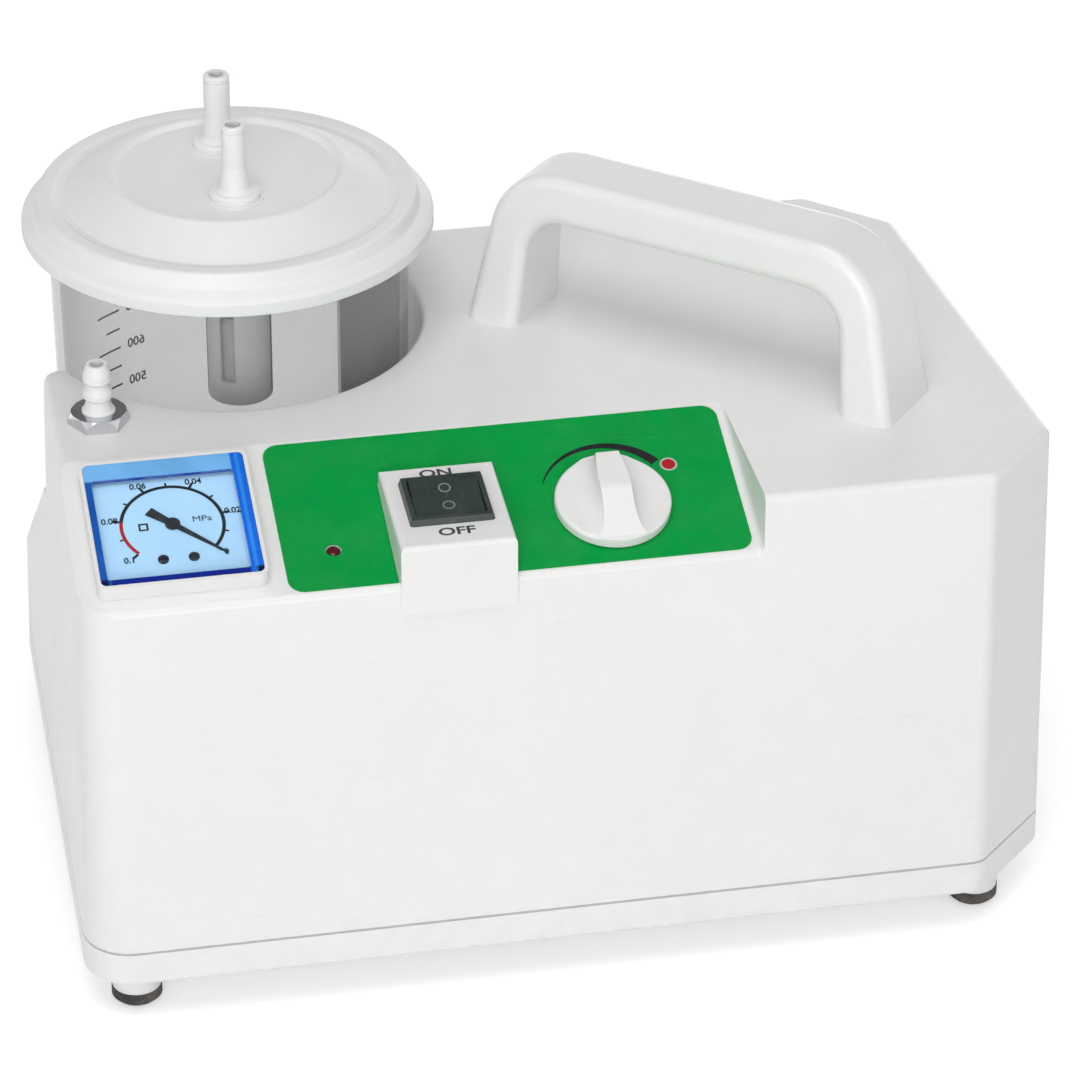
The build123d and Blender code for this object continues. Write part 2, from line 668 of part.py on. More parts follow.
save(gauge_place * Pos(0, 0, gauge_rise - gauge_frame_height + 0.05) * frame_ring, "gauge_frame")
pane = Pos(window_shift_x, window_shift_y, 0) * rounded_block(window_width - 0.3, window_depth - 0.3, 0.8, 0.7)
save(gauge_place * Pos(0, 0, gauge_rise - 1.0) * pane, "gauge_window")

needle_z = dial_z + 0.75
blade = make_face(Polyline(
    (0, 0.9), (gauge_needle_length, 0.22), (gauge_needle_length, -0.22), (0, -0.9), (-8.0, -1.5), (-8.0, 1.5), close=True))
needle = extrude(blade, amount=0.35) + Cylinder(2.1, 0.5, align=(Align.CENTER, Align.CENTER, Align.MIN))
needle = needle + Pos(0, 0, -9) * Cylinder(0.8, 9, align=(Align.CENTER, Align.CENTER, Align.MIN))
save(gauge_place * Pos(0, 0, needle_z) * Rot(0, 0, -42) * needle, "gauge_needle")
dial_screws = []
for side in (-1, 1):
    head = Pos(side * 4.2, -12.5, dial_z + 0.62) * Cylinder(1.5, 0.45, align=(Align.CENTER, Align.CENTER, Align.MIN))
    shank = Pos(side * 4.2, -12.5, dial_z - 4) * Cylinder(0.8, 4.7, align=(Align.CENTER, Align.CENTER, Align.MIN))
    slot = Pos(side * 4.2, -12.5, dial_z + 1.0) * Box(3.4, 0.4, 0.3)
    dial_screws.append(gauge_place * (head + shank - slot))
save(Compound(children=dial_screws), "dial_screws")
movement = Pos(0, 0, -10.2) * Box(12, 16, 9) - Pos(0, 0, -10) * Cylinder(0.9, 40)
coil_arc = CenterArc((0, 0), 13.5, 100, 250)
bourdon = Pos(0, 0, -10) * sweep(Plane(origin=coil_arc @ 0, z_dir=coil_arc % 0) * Rectangle(4.4, 1.8), path=coil_arc)
stem = Pos(0, 0, -gauge_can_depth - 14) * turned([
    (1.4, 0), (2.7, 0), (3.05, 2.2), (2.5, 2.4), (2.5, 8), (5.4, 8), (5.4, 13.9), (3.0, 13.9), (3.0, 15.2), (1.4, 15.2)])
save(gauge_place * movement, "gauge_movement")
save(gauge_place * bourdon, "bourdon_tube")
save(gauge_place * stem, "gauge_stem")

# raised platform for the switch, running down into the front wall
platform_bottom_z = panel_front_height - platform_drop
platform = side_prism(
    [(platform_back_y, platform_back_z), (platform_front_y, platform_front_z),
     (platform_front_y - draft_inset(platform_front_z) + draft_inset(platform_bottom_z) - 0.1, platform_bottom_z),
     (panel_front_y + 12, platform_bottom_z), (platform_back_y, platform_bottom_z)],
    switch_x - platform_width / 2, switch_x + platform_width / 2)
top_edges = platform.faces().sort_by(Axis.Z)[-1].edges()
platform = fillet(top_edges, platform_radius)
platform = Pos(0, -0.02, 0.02) * (platform - outer)
platform = ShapeList(platform.solids()).sort_by(SortBy.VOLUME)[-1]
switch_opening = switch_place * Box(bezel_width - 2 * bezel_wall + 1.0, bezel_depth - 2 * bezel_wall + 1.0, 40)
platform = platform - switch_opening
save(platform, "switch_boss")
inner_width = bezel_width - 2 * bezel_wall
inner_depth = bezel_depth - 2 * bezel_wall
bezel = extrude(RectangleRounded(bezel_width, bezel_depth, 1.0), amount=bezel_height, taper=18)
switch_case = Pos(0, 0, 0.03) * bezel + Pos(0, 0, -switch_body_depth) * rounded_block(
    inner_width + 0.7, inner_depth + 0.7, switch_body_depth + 0.5, 0.6)
well = Pos(0, 0, 2 - switch_body_depth) * rounded_block(inner_width - 0.6, inner_depth - 0.6, 40, 0.4)
switch_case = switch_case - well
save(switch_place * switch_case, "switch_body")
rocker_width = inner_width - 0.6 - 2 * rocker_gap
rocker_reach = inner_depth / 2 - 0.3 - rocker_gap / 2
pivot_h = bezel_height - pivot_drop
swing = math.tan(math.radians(rocker_tilt)) * rocker_reach
corner_h = pivot_drop + rocker_rise - swing
rocker_half = math.sqrt(rocker_reach ** 2 - corner_h ** 2)
rocker_face = make_face(Polyline(
    (-rocker_half, corner_h), (0, corner_h - 0.5), (rocker_half, corner_h), (rocker_half, 0),
    (rocker_half - 3.0, -6), (3.0 - rocker_half, -6), (-rocker_half, 0), close=True))
rocker = extrude(
    Plane(origin=(-rocker_width / 2, 0, 0), x_dir=(0, 1, 0), z_dir=(1, 0, 0)) * rocker_face, amount=rocker_width)
rocker = rocker & Rot(0, 90, 0) * Cylinder(rocker_reach, 60)
save(switch_place * Pos(0, 0, pivot_h) * Rot(rocker_tilt, 0, 0) * rocker, "switch_rocker")
tabs = []
for x_tab in (-6, 6):
    for y_tab in (-5, 5):
        tabs.append(switch_place * Pos(x_tab, y_tab, -switch_body_depth - 4.1) * Box(0.8, 6.3, 8))
save(Compound(children=tabs), "switch_terminals")

# regulator: knob with scooped grip, spindle, valve body and its nut
knob_profile = make_face(Polyline(
    (-knob_radius, 0), (-knob_radius, knob_skirt_height), (-bar_front_reach, knob_skirt_height + 0.3),
    (-2.0, knob_height), (bar_back_reach - 0.8, knob_height), (bar_back_reach, knob_skirt_height + 0.3),
    (knob_radius, knob_skirt_height), (knob_radius, 0), close=True))
knob_profile = fillet(knob_profile.vertices().sort_by_distance((-2.0, knob_height, 0))[0], 8.0)
knob_profile = fillet(knob_profile.vertices().sort_by_distance((bar_back_reach - 0.8, knob_height, 0))[0], 1.4)
side_form = extrude(Plane.YZ * knob_profile, amount=knob_radius + 1, both=True)
knob = Cylinder(knob_radius, knob_height, align=(Align.CENTER, Align.CENTER, Align.MIN)) & side_form
knob = knob - knob_scoop(1) - knob_scoop(-1)
knob = knob + Cylinder(knob_radius, knob_skirt_height, align=(Align.CENTER, Align.CENTER, Align.MIN))
skirt_rim = [
    e for e in knob.edges()
    if abs(e.center().Z - knob_skirt_height) < 0.05 and e.geom_type == GeomType.CIRCLE
    and abs((e @ 0.5).X ** 2 + (e @ 0.5).Y ** 2 - knob_radius ** 2) < 0.5]
knob = fillet(skirt_rim, 1.0)
socket_top = 5.6
knob = knob - Pos(0, 0, -1) * Cylinder(
    spindle_radius + 0.02, socket_top + 1, align=(Align.CENTER, Align.CENTER, Align.MIN))
knob = knob - Pos(0, 0, -1) * Cylinder(8.6, 2.2, align=(Align.CENTER, Align.CENTER, Align.MIN))
pointer = Pos(0, bar_back_reach - 3.0, knob_height) * Box(1.0, 6.0, 0.6)
knob = knob - pointer
save(knob_place * Pos(0, 0, knob_lift) * knob, "regulator_knob")
spindle = Pos(0, 0, -12) * Cylinder(
    spindle_radius, 12 + knob_lift + socket_top - 0.1, align=(Align.CENTER, Align.CENTER, Align.MIN))
spindle = spindle + Pos(0, 0, -19) * Cone(0.6, spindle_radius, 7, align=(Align.CENTER, Align.CENTER, Align.MIN))
save(knob_place * spindle, "valve_spindle")
valve_bore = spindle_radius + running_gap
neck = Pos(0, 0, -wall_thickness - 1) * Cylinder(valve_neck_radius, wall_thickness + 2.6, align=(Align.CENTER, Align.CENTER, Align.MIN))
body_block = Pos(0, 0, -wall_thickness - 23) * hexagon_block(16, 22.8)
valve = body_block + neck
valve = valve - Pos(0, 0, -19.4) * Cylinder(valve_bore, 60, align=(Align.CENTER, Align.CENTER, Align.MIN))
for turn in (Rot(0, 90, 0), Rot(-90, 0, 0)):
    side_stem = Pos(0, 0, -valve_port_depth) * turn * Pos(0, 0, 7.5) * turned(inner_barb)
    valve = valve + side_stem
    valve = valve - Pos(0, 0, -valve_port_depth) * turn * Cylinder(
        1.4, 60, align=(Align.CENTER, Align.CENTER, Align.MIN))
low_stem = Pos(0, 0, -wall_thickness - 22.9) * Rot(180, 0, 0) * turned(inner_barb)
valve = valve + low_stem - Pos(0, 0, -40) * Cylinder(1.4, 44)
save(knob_place * valve, "valve_body")
valve_nut = Pos(0, 0, 0.45) * (Cylinder(7.6, 1.1, align=(Align.CENTER, Align.CENTER, Align.MIN)))
valve_nut = valve_nut - Cylinder(valve_neck_radius + 0.1, 20)
save(knob_place * valve_nut, "valve_nut")

# indicator lamp
lamp = Pos(0, 0, -10) * Cylinder(lamp_radius, 10.3, align=(Align.CENTER, Align.CENTER, Align.MIN))
lamp = fillet(lamp.edges().sort_by(Axis.Z)[-1], 0.8)
save(lamp_place * lamp, "indicator_lamp")

# suction port: two barbs outside, one inside, clamped by a hexagon nut
port_place = Pos(port_x, port_y, top_height)
port = turned([
    (2.0, -25), (2.6, -25), (3.05, -22.4), (2.5, -22), (2.5, -15), (port_thread_radius, -15),
    (port_thread_radius, -6.4), (7.0, -6.4), (7.0, -wall_thickness - 0.1), (port_thread_radius, -wall_thickness - 0.1),
    (port_thread_radius, port_nut_height + 0.4), (4.1, port_nut_height + 1.0), (3.3, port_nut_height + 3.6),
    (4.2, port_nut_height + 4.6), (4.2, port_nut_height + 6.0), (3.1, port_nut_height + 8.6),
    (4.1, port_nut_height + 9.8), (3.9, port_nut_height + 11.6), (2.9, port_nut_height + 14.6),
    (2.0, port_nut_height + 14.6)])
save(port_place * port, "suction_port")
port_nut = hexagon_block(port_nut_width, port_nut_height) & Pos(0, 0, port_nut_height / 2) * Cone(
    port_nut_width / 2 * 1.22, port_nut_width / 2 * 1.02, port_nut_height)
port_nut = port_nut - Cylinder(port_thread_radius + running_gap, 20)
save(port_place * Pos(0, 0, 0.02) * port_nut, "port_nut")

# power inlet with three pins, and a bayonet fuse holder beside it
inlet_place = rear_place * Pos(-inlet_x, 0, 0)
inlet = Pos(0, 0, 0.02) * rounded_block(inlet_width + 3.6, inlet_height + 3.6, 2.2, 2.0)
inlet = inlet + Pos(0, 0, -17) * rounded_block(inlet_width - 0.4, inlet_height - 0.4, 17.1, 1.0)
mouth = make_face(Polyline(
    (-12.0, -8.2), (12.0, -8.2), (12.0, 3.6), (7.4, 8.2), (-7.4, 8.2), (-12.0, 3.6), close=True))
mouth_solid = Pos(0, 0, -15) * extrude(mouth, amount=30)
inlet = inlet - mouth_solid
pins = []
for x_pin, y_pin in ((-7.0, -2.0), (7.0, -2.0), (0.0, 2.0)):
    inlet = inlet - Pos(x_pin, y_pin, -16) * Box(2.0, 4.0, 8)
    pins.append(inlet_place * Pos(x_pin, y_pin, -12.5) * Box(1.96, 3.96, 20))
save(inlet_place * inlet, "power_inlet")
save(Compound(children=pins), "inlet_pins")
fuse_place = rear_place * Pos(-fuse_x, 0, 0)
fuse_body = turned([
    (3.4, -30), (fuse_neck_radius, -30), (fuse_neck_radius, 0.02), (fuse_neck_radius + 1.8, 0.02),
    (fuse_neck_radius + 1.8, 2.4), (3.4, 2.4)])
fuse_body = fuse_body + Pos(0, 0, -30.5) * Cylinder(fuse_neck_radius, 1.0)
save(fuse_place * fuse_body, "fuse_holder")
fuse_cap = turned([(0, -24), (3.3, -24), (3.3, 2.6), (fuse_neck_radius, 2.6), (fuse_neck_radius, 6.4), (5.2, 7.2), (0, 7.2)])
fuse_cap = fuse_cap - Pos(0, 0, 7.2) * Box(9, 1.4, 2.0)
save(fuse_place * fuse_cap, "fuse_cap")

# linear pump: two coils drive an armature that carries the piston along X
def x_cylinder(x_low, x_high, radius, y=pump_y, z=pump_axis_z):
    return Pos((x_low + x_high) / 2, y, z) * Rot(0, 90, 0) * Cylinder(radius, x_high - x_low)


def x_box(x_low, x_high, width, height, y=pump_y, z=pump_axis_z):
    return Pos((x_low + x_high) / 2, y, z) * Box(x_high - x_low, width, height)


floor_z = foot_height + wall_thickness
mount_height = 13.0
bracket_low = floor_z + mount_height
bracket_thick = 2.0
x_rear_plate = pump_x - 44
x_core = pump_x - 32
core_length = 30.0
x_front_plate = pump_x + 4
front_plate = 6.0
x_head = pump_x + 40
shaft_radius = 4.0
plate_width = 60.0

bracket = x_box(pump_x - 50, pump_x + 52, 64, bracket_thick, z=bracket_low + bracket_thick / 2)
rear_plate = x_box(x_rear_plate, x_rear_plate + 3, plate_width, pump_axis_z + 30 - bracket_low,
                   z=(pump_axis_z + 30 + bracket_low) / 2)
middle_plate = x_box(x_front_plate, x_front_plate + front_plate, plate_width, pump_axis_z + 30 - bracket_low,
                     z=(pump_axis_z + 30 + bracket_low) / 2)
bracket = bracket + rear_plate + middle_plate
bracket = bracket - x_cylinder(x_front_plate - 1, x_front_plate + 10, shaft_radius + running_gap)
bracket = bracket - x_cylinder(x_rear_plate - 1, x_rear_plate + 4, shaft_radius + running_gap)
mount_spots = [(pump_x + dx, pump_y + dy) for dx in (-43, 44) for dy in (-25, 25)]
mounts = []
for x, y in mount_spots:
    bracket = bracket - cylinder_between(x, y, 0, bracket_low + 5, 2.2)
    mount = Pos(x, y, floor_z + 0.02) * turned([
        (0, 0), (7, 0), (7, 3), (4.6, 5), (4.6, mount_height - 5), (7, mount_height - 3), (7, mount_height - 0.04),
        (2.1, mount_height - 0.04), (2.1, mount_height + 2.0), (0, mount_height + 2.0)])
    mounts.append(mount)
save(Compound(children=mounts), "pump_mounts")
rods = []
core = x_box(x_core, x_core + core_length, plate_width, 60)
core = core - x_box(x_core - 1, x_core + core_length + 1, plate_width - 16, 44)
for side in (-1, 1):
    core = core + x_box(x_core, x_core + core_length, 13.5, 20, y=pump_y + side * (plate_width / 2 - 13.75))
for dy in (-26, 26):
    for dz in (-26, 26):
        core = core - x_cylinder(x_core - 1, x_core + core_length + 1, 2.1, y=pump_y + dy, z=pump_axis_z + dz)
        bracket = bracket - x_cylinder(x_rear_plate - 1, x_front_plate + 20, 2.1, y=pump_y + dy, z=pump_axis_z + dz)
        rod = x_cylinder(x_rear_plate - 4, x_front_plate + front_plate + 4, 2.05, y=pump_y + dy, z=pump_axis_z + dz)
        nut_a = x_cylinder(x_rear_plate - 2.4, x_rear_plate - 0.05, 3.6, y=pump_y + dy, z=pump_axis_z + dz)
        nut_b = x_cylinder(x_front_plate + front_plate + 0.05, x_front_plate + front_plate + 2.4, 3.6,
                           y=pump_y + dy, z=pump_axis_z + dz)
        rods.append(rod + nut_a + nut_b)
save(bracket, "pump_bracket")
save(core, "pump_core")
save(Compound(children=rods), "tie_rods")
coils = []
for side in (-1, 1):
    y_coil = pump_y + side * (plate_width / 2 - 14.9)
    coil = x_box(x_core - 5, x_core + core_length + 5, 9.6, 40, y=y_coil)
    coil = coil - x_box(x_core - 0.1, x_core + core_length + 0.1, 20, 20.2, y=y_coil)
    upright = coil.edges().filter_by(Axis.Y).filter_by(lambda e: abs(e.center().Z - pump_axis_z) > 15)
    coils.append(fillet(upright, 4.0))
save(Compound(children=coils), "pump_coils")

piston_face = x_head - 8.0
piston = x_cylinder(piston_face - 9, piston_face, piston_radius)
piston = piston - x_cylinder(piston_face - 12, piston_face - 3, piston_radius - 3)
piston = piston + x_cylinder(x_rear_plate - 5, piston_face - 2, shaft_radius)
armature_gap = plate_width - 2 * 20.5 - 2 * 0.35
piston = piston + x_box(x_core + 4, x_core + core_length - 4, armature_gap, 20)
save(piston, "pump_piston")
coil_turns = 5
spring_low = x_rear_plate + 3.1
spring_high = x_core + 3.9
spring_path = Helix((spring_high - spring_low - 1.6) / coil_turns, spring_high - spring_low - 1.6, 6.2)
spring_wire = Plane(origin=spring_path @ 0, z_dir=spring_path % 0) * Circle(0.7)
spring = sweep(spring_wire, path=spring_path)
save(Pos(spring_low + 0.8, pump_y, pump_axis_z) * Rot(0, 90, 0) * spring, "pump_spring")
x_cylinder_low = x_front_plate + front_plate + 0.02
barrel = x_cylinder(x_cylinder_low, x_head, 17)
for fin in range(6):
    x_fin = x_cylinder_low + 4 + fin * 4.4
    barrel = barrel + x_cylinder(x_fin, x_fin + 1.8, 22)
barrel = barrel - x_cylinder(x_cylinder_low - 1, x_head + 1, piston_radius + piston_play)
save(barrel, "pump_cylinder")
head = x_box(x_head + 0.02, x_head + 11, 40, 40)
head = fillet(head.edges().filter_by(Axis.X), 5)
for side in (-1, 1):
    top_stem = Pos(x_head + 5.5, pump_y + side * 10, pump_axis_z + 19) * turned(inner_barb)
    head = head + top_stem
    head = head - cylinder_between(x_head + 5.5, pump_y + side * 10, pump_axis_z, pump_axis_z + 60, 1.4)
    head = head - x_cylinder(x_head - 1, x_head + 6.5, 1.6, y=pump_y + side * 10)
save(head, "pump_head")
head_screws = []
for dy in (-15, 15):
    for dz in (-15, 15):
        head_screws.append(x_cylinder(x_head + 11.02, x_head + 13.6, 3.0, y=pump_y + dy, z=pump_axis_z + dz))
save(Compound(children=head_screws), "head_screws")
silencer = Pos(x_head + 5.5, pump_y + 10, pump_axis_z + 22.4) * turned([
    (3.12, 0), (6, 0), (9, 3), (9, 24), (6.5, 27), (0, 27), (0, 25), (7.4, 24), (7.4, 10.5), (3.12, 10.5)])
save(silencer, "exhaust_silencer")

# hoses inside the housing
right_stem = tuple((knob_place * Pos(11.2, 0, -valve_port_depth)).position)
back_stem = tuple((knob_place * Pos(0, 11.2, -valve_port_depth)).position)
low_stem_root = tuple((knob_place * Pos(0, 0, -wall_thickness - 26.4)).position)
gauge_tip = tuple((gauge_place * Pos(0, 0, -gauge_can_depth - 6.2)).position)
head_tip = (x_head + 5.5, pump_y - 10, pump_axis_z + 22.6)
port_tip = (port_x, port_y, top_height - 15.4)
along_normal = tuple(panel_plane.z_dir)
against_normal = tuple(-1 * panel_plane.z_dir)
up_slope = (0, math.cos(math.radians(panel_tilt)), math.sin(math.radians(panel_tilt)))
beside_bay = (jar_x, jar_y - bay_radius - wall_thickness - 3 * hose_radius, port_tip[2] - hose_run_in)
save(hose(right_stem, (1, 0, 0), head_tip, (0, 0, -1)), "pump_hose")
save(hose(back_stem, up_slope, port_tip, (0, 0, 1), [beside_bay]), "suction_hose")
save(hose(low_stem_root, against_normal, gauge_tip, along_normal), "gauge_hose")
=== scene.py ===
import json
import math
import bpy
import numpy as np
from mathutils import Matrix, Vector


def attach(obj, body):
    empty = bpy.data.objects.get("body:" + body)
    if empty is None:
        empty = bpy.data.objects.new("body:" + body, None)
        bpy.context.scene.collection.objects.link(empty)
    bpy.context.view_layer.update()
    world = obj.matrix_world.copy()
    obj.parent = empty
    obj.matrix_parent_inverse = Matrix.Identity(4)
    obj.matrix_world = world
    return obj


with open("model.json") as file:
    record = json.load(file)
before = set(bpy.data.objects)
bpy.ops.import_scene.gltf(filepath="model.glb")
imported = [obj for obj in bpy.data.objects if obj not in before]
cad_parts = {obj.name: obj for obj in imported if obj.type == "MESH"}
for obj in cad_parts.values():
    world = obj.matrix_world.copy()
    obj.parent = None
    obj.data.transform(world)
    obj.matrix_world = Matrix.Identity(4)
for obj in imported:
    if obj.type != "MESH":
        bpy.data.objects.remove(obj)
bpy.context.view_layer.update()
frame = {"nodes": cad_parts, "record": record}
nodes = frame["nodes"]
mm = 0.001
print("frame loaded:", len(nodes), "nodes")

# camera and studio, in metres, millimetres of lens and degrees
cameraLook = {
    "target": (-0.0085, -0.023, 0.079), "distance": 1.425, "azimuth": -10.81, "elevation": 31.33,
    "lens": 163.8, "sensor": 36.0, "shiftX": 0.0343, "shiftY": 0.0594, "clip": (0.05, 20.0)}
studioLook = {
    "worldStrength": 0.42, "backdropStrength": 1.0, "ceilingStrength": 0.12, "ceilingStart": 0.2,
    "ceilingFull": 0.7, "floorColour": (0.86, 0.86, 0.86, 1), "floorDrift": (0.85, 0.85, 0.85, 1),
    "floorGlow": 0.42, "fadeFrom": (0.35, 1.3), "floorSize": 24.0, "lampTarget": (0, 0, 0.09),
    "frontLamp": {"place": (-0.5, -1.85, 0.75), "size": 1.3, "power": 17.0},
    "topLamp": {"place": (-0.2, -0.5, 1.9), "size": 1.2, "power": 10.5},
    "backLamp": {"place": (0.8, 1.9, 0.45), "size": 1.2, "power": 5.0}}


def backVector(azimuth, elevation):
    a, e = math.radians(azimuth), math.radians(elevation)
    return Vector((math.sin(a) * math.cos(e), -math.cos(a) * math.cos(e), math.sin(e)))


def makeCamera(look):
    data = bpy.data.cameras.new("viewCamera")
    data.lens = look["lens"]
    data.sensor_width = look["sensor"]
    data.shift_x = look["shiftX"]
    data.shift_y = look["shiftY"]
    data.clip_start, data.clip_end = look["clip"]
    camera = bpy.data.objects.new("viewCamera", data)
    bpy.context.scene.collection.objects.link(camera)
    back = backVector(look["azimuth"], look["elevation"])
    camera.location = Vector(look["target"]) + back * look["distance"]
    camera.rotation_mode = "QUATERNION"
    camera.rotation_quaternion = (-back).to_track_quat("-Z", "Y")
    bpy.context.scene.camera = camera


def softLamp(name, look, target):
    data = bpy.data.lights.new(name, "AREA")
    data.shape = "DISK"
    data.size = look["size"]
    data.energy = look["power"]
    lamp = bpy.data.objects.new(name, data)
    bpy.context.scene.collection.objects.link(lamp)
    lamp.location = Vector(look["place"])
    lamp.rotation_mode = "QUATERNION"
    lamp.rotation_quaternion = (Vector(target) - lamp.location).to_track_quat("-Z", "Y")


# small helpers for node trees: an input takes either a link from a socket or a plain value
def feed(tree, node, values):
    for key, value in values.items():
        if isinstance(value, bpy.types.NodeSocket):
            tree.links.new(value, node.inputs[key])
        else:
            node.inputs[key].default_value = value


def put(tree, kind, values=None, **settings):
    made = tree.nodes.new("ShaderNode" + kind)
    for key, value in settings.items():
        setattr(made, key, value)
    feed(tree, made, values or {})
    return made


def calc(tree, operation, *values, clamp=False):
    made = put(tree, "Math", {i: v for i, v in enumerate(values)}, operation=operation, use_clamp=clamp)
    return made.outputs[0]


# a colour mix has its factor at socket 0 and its two colours at 6 and 7
def blendColours(tree, factor, first, second):
    made = put(tree, "Mix", {0: factor, 6: first, 7: second}, data_type="RGBA")
    return made.outputs[2]


def rangeTo(tree, value, fromLow, fromHigh, toLow, toHigh):
    made = put(tree, "MapRange", {
        "Value": value, "From Min": fromLow, "From Max": fromHigh, "To Min": toLow, "To Max": toHigh})
    return made.outputs[0]


def newGroup(name, inputs, outputs):
    tree = bpy.data.node_groups.new(name, "ShaderNodeTree")
    for label, kind, value in inputs:
        socket = tree.interface.new_socket(name=label, in_out="INPUT", socket_type="NodeSocket" + kind)
        if value is not None:
            socket.default_value = value
    for label, kind in outputs:
        tree.interface.new_socket(name=label, in_out="OUTPUT", socket_type="NodeSocket" + kind)
    return tree, tree.nodes.new("NodeGroupInput").outputs, tree.nodes.new("NodeGroupOutput").inputs


def useGroup(tree, group, **values):
    made = tree.nodes.new("ShaderNodeGroup")
    made.node_tree = group
    feed(tree, made, values)
    return made.outputs


# one colour drifting into another in soft clouds of two sizes
driftLook = {"finer": 7.3, "smallShare": 0.45, "wideShare": 0.55, "cloudEdges": (0.36, 0.64)}


def buildColourDrift(look):
    tree, given, result = newGroup("colourDrift", [
        ("Vector", "Vector", None), ("Base", "Color", (0.8, 0.8, 0.8, 1)),
        ("Drift", "Color", (0.7, 0.7, 0.7, 1)), ("Size", "Float", 12.0), ("Amount", "Float", 0.5)],
        [("Color", "Color"), ("Cloud", "Float")])
    wide = put(tree, "TexNoise", {
        "Vector": given["Vector"], "Scale": given["Size"], "Detail": 3.0, "Roughness": 0.6})
    finer = calc(tree, "MULTIPLY", given["Size"], look["finer"])
    small = put(tree, "TexNoise", {
        "Vector": given["Vector"], "Scale": finer, "Detail": 4.0, "Roughness": 0.65})
    wideCloud = calc(tree, "MULTIPLY", wide.outputs[0], look["wideShare"])
    cloud = calc(tree, "MULTIPLY_ADD", small.outputs[0], look["smallShare"], wideCloud)
    spread = rangeTo(tree, cloud, *look["cloudEdges"], 0.0, 1.0)
    factor = calc(tree, "MULTIPLY", spread, given["Amount"], clamp=True)
    tree.links.new(blendColours(tree, factor, given["Base"], given["Drift"]), result["Color"])
    tree.links.new(spread, result["Cloud"])
    return tree


# the skin of a moulding: fine spark-eroded grain on top of slow waves left by the mould
def buildMouldedSkin():
    tree, given, result = newGroup("mouldedSkin", [
        ("Vector", "Vector", None), ("Grain", "Float", 1800.0), ("GrainDepth", "Float", 0.4),
        ("Wave", "Float", 60.0), ("WaveDepth", "Float", 0.6)], [("Height", "Float")])
    grain = put(tree, "TexNoise", {
        "Vector": given["Vector"], "Scale": given["Grain"], "Detail": 2.0, "Roughness": 0.5})
    wave = put(tree, "TexNoise", {
        "Vector": given["Vector"], "Scale": given["Wave"], "Detail": 1.0, "Roughness": 0.4})
    height = calc(tree, "MULTIPLY_ADD", grain.outputs[0], given["GrainDepth"],
                  calc(tree, "MULTIPLY", wave.outputs[0], given["WaveDepth"]))
    tree.links.new(height, result["Height"])
    return tree


# hair-fine scratches that run two ways, in patches; each way has its turn in radians and its stretch
scratchLook = {
    "ways": ((0.5, (1.0, 0.035, 1.0)), (2.1, (0.04, 1.0, 0.6))), "lean": (0.2, 0.1), "finer": 14.0,
    "lineEdges": (0.66, 0.74), "patchLimit": 0.75, "shareReach": 0.4}


def buildHairScratches(look):
    tree, given, result = newGroup("hairScratches", [
        ("Vector", "Vector", None), ("Size", "Float", 90.0), ("Share", "Float", 0.5)], [("Mask", "Float")])
    masks = []
    for turn, stretch in look["ways"]:
        turned = put(tree, "Mapping", {
            "Vector": given["Vector"], "Rotation": (*look["lean"], turn), "Scale": stretch})
        finer = calc(tree, "MULTIPLY", given["Size"], look["finer"])
        lines = put(tree, "TexNoise", {"Vector": turned.outputs[0], "Scale": finer, "Detail": 1.0})
        masks.append(rangeTo(tree, lines.outputs[0], *look["lineEdges"], 0.0, 1.0))
    patch = put(tree, "TexNoise", {"Vector": given["Vector"], "Scale": given["Size"], "Detail": 2.0})
    lowered = calc(tree, "MULTIPLY", given["Share"], look["shareReach"])
    limit = calc(tree, "SUBTRACT", look["patchLimit"], lowered)
    inPatch = calc(tree, "GREATER_THAN", patch.outputs[0], limit)
    both = calc(tree, "MAXIMUM", masks[0], masks[1])
    tree.links.new(calc(tree, "MULTIPLY", both, inPatch, clamp=True), result["Mask"])
    return tree


# dust and hand dirt that gather low on the body and thin out upwards
dustLook = {"speckEdges": (0.42, 0.75), "lowShare": 0.8, "everywhere": 0.2}


def buildBenchDust(look):
    tree, given, result = newGroup("benchDust", [
        ("Vector", "Vector", None), ("Top", "Float", 0.06), ("Size", "Float", 70.0),
        ("Amount", "Float", 0.3)], [("Mask", "Float")])
    split = put(tree, "SeparateXYZ", {"Vector": given["Vector"]})
    low = rangeTo(tree, split.outputs["Z"], 0.0, given["Top"], 1.0, 0.0)
    specks = put(tree, "TexNoise", {
        "Vector": given["Vector"], "Scale": given["Size"], "Detail": 6.0, "Roughness": 0.75})
    speckle = rangeTo(tree, specks.outputs[0], *look["speckEdges"], 0.0, 1.0)
    spread = calc(tree, "MULTIPLY_ADD", low, look["lowShare"], look["everywhere"])
    settled = calc(tree, "MULTIPLY", spread, speckle)
    tree.links.new(calc(tree, "MULTIPLY", settled, given["Amount"], clamp=True), result["Mask"])
    return tree


# long parallel tool marks for drawn, turned or brushed metal
toolMarkLook = {"lineEdges": (0.35, 0.7)}


def buildToolMarks(look):
    tree, given, result = newGroup("toolMarks", [
        ("Vector", "Vector", None), ("Size", "Float", 900.0), ("Stretch", "Vector", (1.0, 1.0, 0.03))],
        [("Height", "Float"), ("Line", "Float")])
    drawn = put(tree, "VectorMath", {0: given["Vector"], 1: given["Stretch"]}, operation="MULTIPLY")
    marks = put(tree, "TexNoise", {
        "Vector": drawn.outputs[0], "Scale": given["Size"], "Detail": 3.0, "Roughness": 0.7})
    tree.links.new(marks.outputs[0], result["Height"])
    tree.links.new(rangeTo(tree, marks.outputs[0], *look["lineEdges"], 0.0, 1.0), result["Line"])
    return tree


